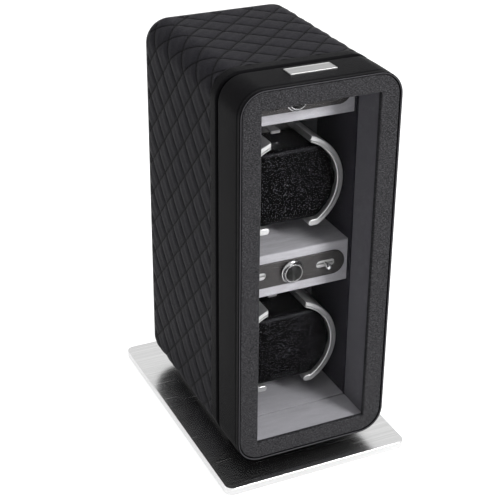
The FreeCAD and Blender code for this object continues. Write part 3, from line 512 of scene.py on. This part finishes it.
baseAluminium = brushedMetal("baseAluminium", {
    "lines": (4.0, 900.0, 900.0), "relief": 0.010, "roughness": (0.19, 0.30),
    "dark": grey(0.59), "light": grey(0.72)})
plateGunmetal = brushedMetal("plateGunmetal", {
    "lines": (14.0, 3000.0, 3400.0), "relief": 0.010, "roughness": (0.46, 0.60),
    "dark": (0.046, 0.044, 0.044, 1.0), "light": (0.086, 0.082, 0.082, 1.0)})
nameplateSteel = brushedMetal("nameplateSteel", {
    "lines": (20.0, 2400.0, 2400.0), "relief": 0.010, "roughness": (0.26, 0.40),
    "dark": grey(0.28), "light": grey(0.43)})
hingeSteel = brushedMetal("hingeSteel", {
    "lines": (2400.0, 2400.0, 30.0), "relief": 0.010, "roughness": (0.26, 0.40),
    "dark": grey(0.10), "light": grey(0.16)})
polishedSteel = brushedMetal("polishedSteel", {
    "lines": (900.0, 900.0, 900.0), "relief": 0.004, "roughness": (0.07, 0.14),
    "dark": grey(0.66), "light": grey(0.78)})
turnedSteel = brushedMetal("turnedSteel", {
    "lines": (900.0, 900.0, 900.0), "relief": 0.003, "roughness": (0.05, 0.09),
    "dark": grey(0.38), "light": grey(0.48)})
# the knob's spun face: steel darkened as a painted dark reflection of the hollow it faces
spunSteelDarkReflection = brushedMetal("spunSteelDarkReflection", {
    "lines": (700.0, 700.0, 700.0), "relief": 0.002, "roughness": (0.49, 0.54), "spun": 0.95,
    "dark": grey(0.028), "light": grey(0.036)})
bushBronze = brushedMetal("bushBronze", {
    "lines": (1400.0, 40.0, 1400.0), "relief": 0.006, "roughness": (0.24, 0.36),
    "dark": (0.42, 0.25, 0.12, 1.0), "light": (0.58, 0.37, 0.19, 1.0)})
silverPaint = moulded("silverPaint", {
    "texture": 1500.0, "relief": 0.012, "dark": grey(0.52), "light": grey(0.59), "metal": 0.7,
    "roughness": (0.28, 0.38)})
blackPlastic = moulded("blackPlastic", {
    "texture": 1800.0, "relief": 0.030, "dark": grey(0.012), "light": grey(0.018), "roughness": (0.40, 0.55)})
switchPlastic = moulded("switchPlastic", {
    "texture": 1500.0, "relief": 0.020, "dark": grey(0.58), "light": grey(0.68), "roughness": (0.42, 0.55)})
circuitBoard = moulded("circuitBoard", {
    "texture": 900.0, "relief": 0.030, "roughness": (0.32, 0.45),
    "dark": (0.010, 0.070, 0.030, 1.0), "light": (0.014, 0.100, 0.045, 1.0)})
beltRubber = moulded("beltRubber", {
    "texture": 1200.0, "relief": 0.050, "dark": grey(0.010), "light": grey(0.016), "roughness": (0.70, 0.85)})
wrappedBoard = moulded("wrappedBoard", {
    "texture": 1100.0, "relief": 0.060, "dark": grey(0.008), "light": grey(0.013), "specular": 0.3,
    "roughness": (0.50, 0.64)})
footFelt = suede("footFelt", {
    "fibres": 1500.0, "sheen": 0.15, "relief": 0.20,
    "dark": grey(0.010), "light": grey(0.018), "fleck": grey(0.028)})


pane = {"tint": (0.985, 0.985, 0.99, 1.0), "refraction": 1.06, "roughness": (0.0, 0.02)}


def makeGlass():
    # clear pane that lets lamp light through to the lining behind it
    material, tree, shader, smear = startMaterial("clearPane", brushGroup, {})
    shader.inputs["Base Color"].default_value = pane["tint"]
    shader.inputs["Transmission Weight"].default_value = 1.0
    shader.inputs["IOR"].default_value = pane["refraction"]  # thin pane: next to no shift or mirror image
    tree.links.new(spread(tree, smear["Clouds"], *pane["roughness"]), shader.inputs["Roughness"])
    path = addNode(tree, "ShaderNodeLightPath").outputs
    through = mathNode(tree, "MAXIMUM", path["Is Shadow Ray"], path["Is Diffuse Ray"])
    clear = addNode(tree, "ShaderNodeBsdfTransparent").outputs[0]
    both = addNode(tree, "ShaderNodeMixShader", {0: through, 1: shader.outputs[0], 2: clear}).outputs[0]
    tree.links.new(both, tree.nodes["Material Output"].inputs["Surface"])
    return material


clearPane = makeGlass()
print("materials: metals, plastics and glass")

# Nodes whose shape is right keep it and get a finish

finishes = {
    "base_pad": footFelt, "base_plate": baseAluminium, "plinth": wrappedBoard, "base_screws": polishedSteel,
    "case_shell": wrappedBoard, "back_panel": panelLeather, "back_panel_screws": hingeSteel,
    "dc_inlet": blackPlastic, "lining_left": shadedWallSuede, "lining_right": shadedWallSuede, "lining_floor": shadedFloorSuede,
    "partition_board": wrappedBoard, "partition_lining": shadedBackSuede, "case_magnet": polishedSteel,
    "door_frame": wrappedBoard, "door_glass": clearPane, "door_magnet": polishedSteel,
    "hinge_case_leaves": hingeSteel, "hinge_door_leaves": hingeSteel, "hinge_pins": hingeSteel,
}
tierFinishes = {
    "control_board": circuitBoard, "speed_switch": blackPlastic, "direction_switches": switchPlastic,
    "left_lever": polishedSteel, "right_lever": polishedSteel, "drum_cup": silverPaint,
    "drum_shaft": polishedSteel, "drum_pulley": blackPlastic, "shaft_bush": bushBronze,
    "cushion": cushionLeather, "motor": polishedSteel, "motor_bracket": hingeSteel,
    "motor_pulley": bushBronze, "belt": beltRubber,
}
for tier in tiers:
    finishes.update({tier + "_" + piece: finish for piece, finish in tierFinishes.items()})
for node, finish in finishes.items():
    coat(nodes[node].data, finish)
print("finishes:", len(finishes), "nodes")

# Quilted cover

quilt = {"cell": 28.0, "depth": 1.05, "steps": 14, "puff": 0.45, "gather": 0.34, "crossingX": 9.4,
         "crossingDepth": 22.5, "seamShadeWidth": 0.75, "hem": 1.2, "hemDrop": 0.63, "thickness": 2.6}
thread = {"length": 2.8, "radius": 0.24, "perCell": 5, "cellsEachWay": 40, "endMargin": 1.5, "proud": 0.1}


def makeQuilt():
    # diamonds on a lattice of two slanted ways u and v: distance = (u + v) / 2 and depth = (u - v) / 2 cells.
    # each pad rises as (4a(1-a) * 4b(1-b)) ** puff between its four sewn lines, and sinks again by a share
    # gather * (1 + cos(4 pi b)) / 2
    front, back = coverLow[1], coverHigh[1]
    around = outlineLength / round(outlineLength / quilt["cell"])
    startY = front + quilt["crossingDepth"]
    p, q = np.meshgrid(np.arange(2 * round(outlineLength / around)),
                       np.arange(math.floor(2 * (front - startY) / quilt["cell"]) - 1,
                                 math.ceil(2 * (back - startY) / quilt["cell"]) + 2), indexing="ij")
    paired = (p + q) % 2 == 0
    p, q = p[paired], q[paired]
    side = easedSteps(quilt["steps"] + 1)
    a, b = np.meshgrid(side, side, indexing="ij")
    s = quilt["crossingX"] + around * (p[:, None, None] + a + b) / 2
    y = startY + quilt["cell"] * (q[:, None, None] + a - b) / 2
    hump = (16 * a * (1 - a) * b * (1 - b)) ** quilt["puff"]
    pad = np.broadcast_to(hump * (1 - quilt["gather"] * (1 + np.cos(4 * math.pi * b)) / 2), s.shape)
    inSeam = np.minimum(np.minimum(a, 1 - a), np.minimum(b, 1 - b)) * quilt["cell"] / math.sqrt(2)
    # darkening that fades away from each sewn line: painted shade in the seam valley
    seamShade = np.broadcast_to(np.exp(-inSeam / quilt["seamShadeWidth"]), s.shape)
    faces = gridFaces(len(side), len(side))[None] + len(side) ** 2 * np.arange(len(p))[:, None, None]
    points = onBox(s, quilt["depth"] * (pad - 1), y)
    cover = putMesh("quiltedCover", points, faces.reshape(-1, 4), quiltLeather, sameSpot, {"seamShade": seamShade})
    onPlane = 1e-7  # a point this near a cutting plane, in metres, lies on it
    trim = bmesh.new()
    trim.from_mesh(cover.data)
    for depth, way in ((front, -1), (back, 1)):
        bmesh.ops.bisect_plane(trim, geom=trim.verts[:] + trim.edges[:] + trim.faces[:], dist=onPlane,
                               plane_co=(0, depth * mm, 0), plane_no=(0, way, 0), clear_outer=True)
    trim.to_mesh(cover.data)
    trim.free()
    dress(cover, "case", "quilted_leatherette", "quilted_cover")
    return around, startY


around, quiltStart = makeQuilt()


def makeQuiltThread():
    # stitches along both families of sewn lines, none at the crossings
    front, back = coverLow[1] + thread["endMargin"], coverHigh[1] - thread["endMargin"]
    lines = np.arange(0, 2 * round(outlineLength / around), 2)
    eachWay = thread["cellsEachWay"] * thread["perCell"]
    steps = np.arange(-eachWay, eachWay) / thread["perCell"] + 0.5 / thread["perCell"]
    line, step = np.meshgrid(lines, steps, indexing="ij")
    slant = math.hypot(around, quilt["cell"])
    rows = []
    for way in (1, -1):
        s = quilt["crossingX"] + around * (line / 2 + step / 2)
        y = quiltStart + way * quilt["cell"] * step / 2
        kept = (y > front) & (y < back)
        rows.append((s[kept], y[kept], np.full(kept.sum(), around / slant),
                     np.full(kept.sum(), way * quilt["cell"] / slant)))
    s, y, directionS, directionY = (np.concatenate(part) for part in zip(*rows))
    rise = thread["proud"] - quilt["depth"]
    row = threadRow("quiltThread", s, y, directionS, directionY, rise, thread, threadMaterial)
    dress(row, "case", "quilted_leatherette")
    print("quilting:", len(s), "stitches")


makeQuiltThread()


def makeHem():
    # closed profile: the cover turns round the case's back edge in a quarter circle and ends on the board
    back, radius = coverHigh[1], quilt["hem"]
    roundRise, roundDepth = quarterRound(-quilt["hemDrop"] - radius, back - radius, radius, 0, 90)
    rise = np.concatenate([roundRise, [-quilt["thickness"], -quilt["thickness"]]])
    depth = np.concatenate([roundDepth, [back, back - radius]])
    dress(ringAlongOutline("coverHem", rise, depth, quiltLeather), "case", "quilted_leatherette")


makeHem()

# Binding round the case's front edge

binding = {"round": 2.2, "crown": 0.5, "crownStart": 0.12, "steps": 9, "thickness": 3.0}


def makeBinding():
    # closed profile: a low crown from the quilting to a rolled front edge, then back along the board
    low, high = ends("case_binding")
    front, back, radius = low[1], high[1], binding["round"]
    t = np.linspace(0, 1, binding["steps"])
    crownDepth = back + (front + radius - back) * t
    climb = binding["crownStart"] + (1 - binding["crownStart"]) * t
    crownRise = binding["crown"] * (np.sin(math.pi * climb / 2) - 1)
    roundRise, roundDepth = quarterRound(-radius, front + radius, radius, 0, -90)
    rise = np.concatenate([[-binding["thickness"]], crownRise[:-1], roundRise, [-binding["thickness"]]])
    depth = np.concatenate([[back], crownDepth[:-1], roundDepth, [front]])
    roll = ringAlongOutline("caseBinding", rise, depth, bandLeather)
    dress(roll, "case", "smooth_leatherette", "case_binding")


makeBinding()
print("binding")

# Leather band of the door, with a pale rim that is a painted highlight, and a row of stitches

band = {"thickness": 1.5, "edge": 0.5, "edgeLead": 0.1, "rim": 0.45, "rimInset": 1.15, "rimSides": 12,
        "stitchDepth": 4.0, "groove": 0.35, "grooveWidth": 1.1, "crown": 0.6, "crownStart": 0.22,
        "crownSpan": 0.56, "steps": 44, "backRound": 2.0, "backLip": 1.4}
bandThread = {"length": 2.9, "radius": 0.24, "pitch": 4.0, "sunk": 0.25}


def makeDoorBand():
    # closed profile: a rounded front edge, a dip under the stitches, a low crown and a rounded back edge,
    # then back along the board
    low, high = ends("door_wrap")
    front, back, edge, rim, radius = low[1], high[1], band["edge"], band["rim"], band["backRound"]
    y = np.linspace(front + edge + band["edgeLead"], back - radius, band["steps"])
    dip = band["groove"] * np.exp(-((y - front - band["stitchDepth"]) / band["grooveWidth"]) ** 2)
    t = (y - y[0]) / (y[-1] - y[0])
    rise = -band["crown"] * (1 - np.sin(math.pi * (band["crownStart"] + band["crownSpan"] * t))) - dip
    backRise, backDepth = quarterRound(rise[-1] - radius, back - radius, radius, 0, 90)
    edgeRise, edgeDepth = quarterRound(rise[0] - edge, y[0], edge, -90, 0)
    rises = np.concatenate([[-band["thickness"], -band["rimInset"]], edgeRise[:-1], rise[:-1], backRise,
                            [-radius - band["backLip"]]])
    depths = np.concatenate([[front + rim, front + rim], edgeDepth[:-1], y[:-1], backDepth, [back]])
    wrap = ringAlongOutline("doorBand", rises, depths, bandLeather)
    dress(wrap, "door", "smooth_leatherette", "door_wrap")
    # pale rim, a painted highlight along the front edge: a full circle carried round inside it
    sides = band["rimSides"]
    rimRise, rimDepth = quarterRound(-band["rimInset"], front + rim, rim, 0, 360 - 360 / sides, sides)
    dress(ringAlongOutline("doorRimHighlight", rimRise, rimDepth, rimHighlightLeather), "door", "smooth_leatherette")
    count = round(outlineLength / bandThread["pitch"])
    s = outlineLength * (np.arange(count) + 0.5) / count
    stitchY = np.full(count, front + band["stitchDepth"])
    row = threadRow("doorThread", s, stitchY, np.ones(count), np.zeros(count),
                    -band["groove"] - bandThread["sunk"], bandThread, threadMaterial)
    dress(row, "door", "smooth_leatherette")
    print("door band:", count, "stitches")


makeDoorBand()

# Front panel with the window

panel = {"gap": 2.3, "edge": 0.9, "windowEdge": 1.1, "lip": 5.0, "steps": 26, "sharpDegrees": 50}


def makeFrontPanel():
    # ring between the rounded outline and the square-cornered window: points run straight across it, and
    # the face falls away by a quarter round at both edges
    low, high = ends("door_front_panel")
    frontY, backY = low[1], high[1]
    windowLow, windowHigh = ends("door_lining")
    halfX = windowHigh[0] - panel["lip"]  # the window stands a lip inside the lining's outside
    halfZ = (windowHigh[2] - windowLow[2]) / 2 - panel["lip"]
    windowMiddle = (windowHigh[2] + windowLow[2]) / 2
    s = outlineSteps()
    core, normal = boxOutline(s)
    outer = core + normal * (boxShape["cornerRadius"] - panel["gap"]) + [0, boxMiddle]
    inner = core * [halfX / coreX, halfZ / coreZ] + [0, windowMiddle]
    width = np.linalg.norm(inner - outer, axis=1)[:, None]
    t = easedSteps(panel["steps"])
    fromOuter = np.clip(1 - t * width / panel["edge"], 0, 1)
    fromInner = np.clip(1 - (1 - t) * width / panel["windowEdge"], 0, 1)
    y = (frontY + panel["edge"] * (1 - np.sqrt(1 - fromOuter ** 2))
         + panel["windowEdge"] * (1 - np.sqrt(1 - fromInner ** 2)))
    flat = outer[:, None] * (1 - t[:, None]) + inner[:, None] * t[:, None]
    face = np.stack([flat[..., 0], y, flat[..., 1]], -1)
    backRow = np.stack([flat[:, ::-1, 0], np.full(y.shape, backY), flat[:, ::-1, 1]], -1)[:, [0, -1]]
    points = np.concatenate([face, backRow], 1)
    ring = putMesh("frontPanel", points, gridFaces(len(s), points.shape[1], True, True), panelLeather)
    dress(sharpen(ring, panel["sharpDegrees"]), "door", "panel_leatherette", "door_front_panel")


makeFrontPanel()
print("front panel")

# Lining of the door's hollow: paler below and above, darker at the sides, both tones being the pale lining
# with painted shade

lining = {"thickness": 2.0, "steps": 5, "sharpDegrees": 40}


def cornerRows(low, high, inset):
    # the four corners of a rectangle, each as a row of points that move inwards by the insets
    corners = np.array([(0, 0), (1, 0), (1, 1), (0, 1)])
    lowSide = low + inset[:, None]
    highSide = high - inset[:, None]
    return lowSide[None] * (1 - corners[:, None]) + highSide[None] * corners[:, None]


def makeDoorLining():
    # closed profile, outside then inside, carried round the four corners of the hollow
    low, high = ends("door_lining")
    depth = np.linspace(low[1], high[1], lining["steps"])
    inset = np.concatenate([np.zeros(lining["steps"]), np.full(lining["steps"], lining["thickness"])])
    y = np.concatenate([depth, depth[::-1]])
    flat = cornerRows(low[[0, 2]], high[[0, 2]], inset)
    points = np.stack([flat[..., 0], np.broadcast_to(y, flat.shape[:2]), flat[..., 1]], -1)
    ring = putMesh("doorLining", points, gridFaces(4, len(y), True, True), shadedFloorSuede)
    ring.data.materials.append(shadedDoorSuede)
    upright = np.repeat([0, 1, 0, 1], len(y)).astype(np.int32)  # floor, right side, ceiling, left side
    ring.data.polygons.foreach_set("material_index", upright)
    dress(sharpen(ring, lining["sharpDegrees"]), "door", "grey_suede", "door_lining")


makeDoorLining()

# Nameplate: a bare plate with a low raised border

nameplate = {"border": 0.9, "recess": 0.25, "edge": 0.3, "edgeBreak": 0.09, "sharpDegrees": 30}


def makeNameplate():
    # rings from the foot over the border down to the field, each an inset and a height
    low, high = ends("nameplate")
    top, field = high[2], high[2] - nameplate["recess"]
    border, edge, broken = (nameplate[key] for key in ("border", "edge", "edgeBreak"))
    inset = np.array([0, 0, broken, edge, border, border + edge, border + 2 * edge])
    height = np.array([low[2], top - edge, top - broken, top, top, field, field])
    flat = cornerRows(low[:2], high[:2], inset)
    points = np.concatenate([flat, np.broadcast_to(height[None, :, None], flat.shape[:2] + (1,))], -1)
    count = len(inset)
    faces = [list(f) for f in gridFaces(4, count, True, False)]
    faces += [[count * k + count - 1 for k in range(4)], [count * k for k in range(4)]]
    plate = putMesh("barePlate", points, faces, nameplateSteel)
    dress(sharpen(plate, nameplate["sharpDegrees"]), "door", "nameplate_metal", "nameplate")


makeNameplate()
print("door lining and nameplate")

# Consoles, control plates and knobs

console = {"round": 1.1, "plateRound": 0.35, "plateSegments": 2, "onFace": 0.01}
knobLook = {"faceRadius": 7.7, "baseRadius": 9.6, "rim": 0.8, "stemRadius": 3.0, "length": 3.8, "skirt": 2.2,
            "dish": 0.4, "fieldMargin": 0.96, "round": 0.2, "roundSteps": 5, "axisRadius": 0.02, "weld": 0.05,
            "around": 72, "sharpDegrees": 40}


def makeConsole(tier):
    low, high = ends(tier + "_console")

    def frontLong(points):
        # the long edges above and below the front
        level = np.minimum(abs(points[:, 2] - low[2]), abs(points[:, 2] - high[2]))
        return (abs(points[:, 1] - low[1]) < console["onFace"]) & (level < console["onFace"])

    housing = softEdges(tier + "Console", tier + "_console", paleSuede, frontLong, console["round"])
    dress(housing, "case", "grey_suede", tier + "_console")
    plateFront = ends(tier + "_control_plate")[0][1]

    def frontRim(points):
        return abs(points[:, 1] - plateFront) < console["onFace"]

    plate = softEdges(tier + "ControlPlate", tier + "_control_plate", plateGunmetal, frontRim,
                      console["plateRound"], console["plateSegments"])
    dress(plate, "case", "gunmetal", tier + "_control_plate")


def makeKnob(tier):
    # turned profile of radii and depths, carried round the stem's line: a dished face, a thin lip and a
    # slanted skirt that ends in a short straight rim
    low, high = ends(tier + "_knob")
    front, stemEnd = low[1], high[1]
    face, base, rim, stem = (knobLook[key] for key in ("faceRadius", "baseRadius", "rim", "stemRadius"))
    dish, curve, axis = (knobLook[key] for key in ("dish", "round", "axisRadius"))
    back = front + knobLook["length"]
    skirt = front + knobLook["skirt"]
    turn = np.linspace(0, math.pi / 2, knobLook["roundSteps"])
    rising, falling = np.sin(turn), 1 - np.cos(turn)
    lipRadius = np.concatenate([face - rim + curve * rising, face - rim / 2 + rim / 2 * rising])
    lipDepth = np.concatenate([front + dish * np.cos(turn), front + rim / 2 * falling])
    skirtRadius = base - curve + curve * rising
    skirtDepth = skirt + curve * falling
    radius = np.concatenate([[axis, face - knobLook["fieldMargin"]], lipRadius, skirtRadius,
                             [base, stem, stem, axis]])
    depth = np.concatenate([[front + dish, front + dish], lipDepth, skirtDepth,
                            [back, back, stemEnd, stemEnd]])
    angle = 2 * math.pi * np.arange(knobLook["around"]) / knobLook["around"]
    middle = (low + high) / 2
    points = np.stack([middle[0] + radius[None] * np.cos(angle[:, None]),
                       np.broadcast_to(depth, (len(angle), len(depth))),
                       middle[2] + radius[None] * np.sin(angle[:, None])], -1)
    faces = gridFaces(len(angle), len(depth), True, False)
    knob = putMesh(tier + "Knob", points, faces, turnedSteel, knobLook["weld"])
    # the dished face takes the darkened steel, a painted dark reflection
    knob.data.materials.append(spunSteelDarkReflection)
    centres = np.zeros(3 * len(knob.data.polygons), np.float32)
    knob.data.polygons.foreach_get("center", centres)
    centres = centres.reshape(-1, 3) / mm - middle
    dished = (np.hypot(centres[:, 0], centres[:, 2]) < face - rim) & (centres[:, 1] < 0)
    knob.data.polygons.foreach_set("material_index", dished.astype(np.int32))
    dress(sharpen(knob, knobLook["sharpDegrees"]), tier + "_dial", "chrome", tier + "_knob")


for tier in tiers:
    makeConsole(tier)
    makeKnob(tier)
print("consoles and knobs")

# Cushions, swollen by cloth pressure inside their covers

cushion = {"slack": (-1.0, 1.4, -1.0), "voxel": 4.0, "pressure": 4.0, "frames": 20, "cap": 1.7, "levels": 2,
           "seamBehindFront": 7.0, "seamDip": 0.5, "seamSpread": 1.2, "seamInside": 20.0, "spread": 3.8,
           "room": 36.35, "tall": 30.6, "frontFade": 1.5, "smoothEdge": 3.5, "edgeHighlightStrength": 0.09, "edgeHighlightWidth": 0.25}
tiny = 1e-6  # keeps a division by a length away from zero


def evaluatedMesh(obj):
    bpy.context.view_layer.update()
    return bpy.data.meshes.new_from_object(obj.evaluated_get(bpy.context.evaluated_depsgraph_get()))


def setPoints(mesh, points):
    mesh.vertices.foreach_set("co", np.asarray(points, np.float32).ravel())
    mesh.update()


def makeCushion(tier):
    low, high = ends(tier + "_cushion")
    centre = (low + high) / 2 * mm
    obj = mergedCopy(tier + "Cushion", tier + "_cushion")
    mesh = obj.data
    shrunk = 1 - 2 * np.array(cushion["slack"]) / (high - low)
    setPoints(mesh, centre + (meshPoints(mesh) - centre) * shrunk)
    voxels = obj.modifiers.new("voxels", "REMESH")
    voxels.mode = "VOXEL"
    voxels.voxel_size = cushion["voxel"] * mm
    obj.data = evaluatedMesh(obj)
    obj.modifiers.clear()
    rest = meshPoints(obj.data)
    cloth = obj.modifiers.new("cover", "CLOTH")
    cloth.settings.use_pressure = True
    cloth.settings.uniform_pressure_force = cushion["pressure"]
    cloth.settings.effector_weights.gravity = 0.0
    for number in range(1, cushion["frames"] + 1):
        scene.frame_set(number)
    moved = meshPoints(evaluatedMesh(obj)) - rest
    far = np.linalg.norm(moved, axis=1, keepdims=True)
    capped = moved * np.minimum(1, cushion["cap"] * mm / np.maximum(far, tiny * mm))
    obj.modifiers.clear()
    scene.frame_set(1)
    setPoints(obj.data, rest + capped)
    smooth = obj.modifiers.new("smooth", "SUBSURF")
    smooth.levels = smooth.render_levels = cushion["levels"]
    obj.data = evaluatedMesh(obj)
    obj.modifiers.clear()
    points = meshPoints(obj.data) / mm - centre / mm
    # a seam dips round the pad behind its front, and the sides stay inside the hoops' two arcs
    seamY = low[1] + cushion["seamBehindFront"] - centre[1] / mm
    dip = cushion["seamDip"] * np.exp(-((points[:, 1] - seamY) / cushion["seamSpread"]) ** 2)
    sideX = np.sign(points[:, 0]) * np.maximum(abs(points[:, 0]) - cushion["spread"], 0)
    reach = np.maximum(np.hypot(sideX, points[:, 2]), tiny)
    wanted = np.minimum(reach - dip * (reach > cushion["seamInside"]), cushion["room"])
    points[:, 0] += sideX * (wanted / reach - 1)
    points[:, 2] = np.clip(points[:, 2] * wanted / reach, -cushion["tall"], cushion["tall"])
    setPoints(obj.data, points * mm + centre)
    # front mask: grain and painted glints on the front face, fading where it turns towards the sides
    ahead = np.clip((seamY - points[:, 1]) / cushion["frontFade"], 0, 1)
    inward = np.clip((cushion["room"] - cushion["smoothEdge"] - reach) / cushion["smoothEdge"], 0, 1)
    corner = np.hypot(points[:, 1] - points[:, 1].min(), points[:, 2] - points[:, 2].max())
    # a pale line along the top front edge: a painted highlight
    edgeHighlight = cushion["edgeHighlightStrength"] * np.exp(-((corner - corner.min()) / cushion["edgeHighlightWidth"]) ** 2)
    paint(obj.data, {"front": ahead * inward, "edgeHighlight": edgeHighlight})
    coat(obj.data, cushionLeather)
    obj.data.shade_smooth()
    dress(obj, tier + "_pad", "cushion_leather", tier + "_cushion")


for tier in tiers:
    makeCushion(tier)
print("cushions")

# Floor, world, lamps and camera

studio = {"floorSize": 12.0, "floorColour": grey(0.62), "floorRoughness": 0.9, "floorGlow": 0.70,
          "ambient": 0.40}
lamps = {
    "topSoftbox": {"place": (0.10, 0.05, 1.75), "aim": (0.0, 0.0, 0.2), "size": 1.5, "power": 17.0},
    "rightSoftbox": {"place": (0.55, -1.15, 0.85), "aim": (0.0, -0.05, 0.15), "size": 0.35, "power": 15.0},
    "leftSoftbox": {"place": (-1.6, 0.9, 1.0), "aim": (0.0, 0.0, 0.18), "size": 1.0, "power": 6.0},
}
cameraView = {"place": (-406.2, -844.36, 634.73), "forward": (0.37737, 0.80235, -0.46241), "roll": 0.0097,
              "focalPixels": 1289.91, "framePixels": 500, "sensor": 36.0}


def seenDirectly(tree):
    # 1 for what the eye, a mirror or a pane shows, 0 for the light on diffuse surfaces
    path = addNode(tree, "ShaderNodeLightPath").outputs
    mirrored = mathNode(tree, "MAXIMUM", path["Is Glossy Ray"], path["Is Transmission Ray"])
    return mathNode(tree, "MAXIMUM", path["Is Camera Ray"], mirrored)


def makeStudio():
    half = studio["floorSize"] / 2 / mm
    floorMaterial = bpy.data.materials.new("studioFloor")
    floorMaterial.use_nodes = True
    tree = floorMaterial.node_tree
    shader = tree.nodes["Principled BSDF"]
    shader.inputs["Base Color"].default_value = studio["floorColour"]
    shader.inputs["Roughness"].default_value = studio["floorRoughness"]
    shader.inputs["Specular IOR Level"].default_value = 0.0
    shader.inputs["Emission Color"].default_value = grey(1.0)
    tree.links.new(mathNode(tree, "MULTIPLY", seenDirectly(tree), studio["floorGlow"]),
                   shader.inputs["Emission Strength"])
    corners = [(-half, -half, 0), (half, -half, 0), (half, half, 0), (-half, half, 0)]
    putMesh("studioFloor", corners, [(0, 1, 2, 3)], floorMaterial)
    world = bpy.data.worlds.new("studioWorld")
    world.use_nodes = True
    scene.world = world
    tree = world.node_tree
    soft = tree.nodes["Background"]
    soft.inputs["Strength"].default_value = studio["ambient"]
    soft.inputs["Color"].default_value = grey(1.0)
    white = addNode(tree, "ShaderNodeBackground", {"Color": grey(1.0), "Strength": 1.0}).outputs[0]
    both = addNode(tree, "ShaderNodeMixShader", {0: seenDirectly(tree), 1: soft.outputs[0], 2: white})
    tree.links.new(both.outputs[0], tree.nodes["World Output"].inputs["Surface"])
    for name, lamp in lamps.items():
        light = bpy.data.lights.new(name, "AREA")
        light.shape = "SQUARE"
        light.size = lamp["size"]
        light.energy = lamp["power"]
        obj = putObject(name, light)
        obj.location = lamp["place"]
        toAim = Vector(lamp["aim"]) - Vector(lamp["place"])
        obj.rotation_euler = toAim.to_track_quat("-Z", "Y").to_euler()


def makeCamera():
    # right and up follow from the viewing direction, then turn a little about it
    forward = Vector(cameraView["forward"]).normalized()
    right = forward.cross(Vector((0, 0, 1))).normalized()
    up = right.cross(forward)
    c, s = math.cos(cameraView["roll"]), math.sin(cameraView["roll"])
    turned = Matrix((right * c + up * s, up * c - right * s, -forward)).transposed().to_4x4()
    data = bpy.data.cameras.new("photoView")
    data.sensor_width = cameraView["sensor"]
    data.lens = cameraView["focalPixels"] / cameraView["framePixels"] * cameraView["sensor"]
    camera = putObject("photoView", data)
    camera.matrix_world = Matrix.Translation(Vector(cameraView["place"]) * mm) @ turned
    scene.camera = camera


makeStudio()
makeCamera()
scene.view_settings.view_transform = "Standard"
print("studio and camera")
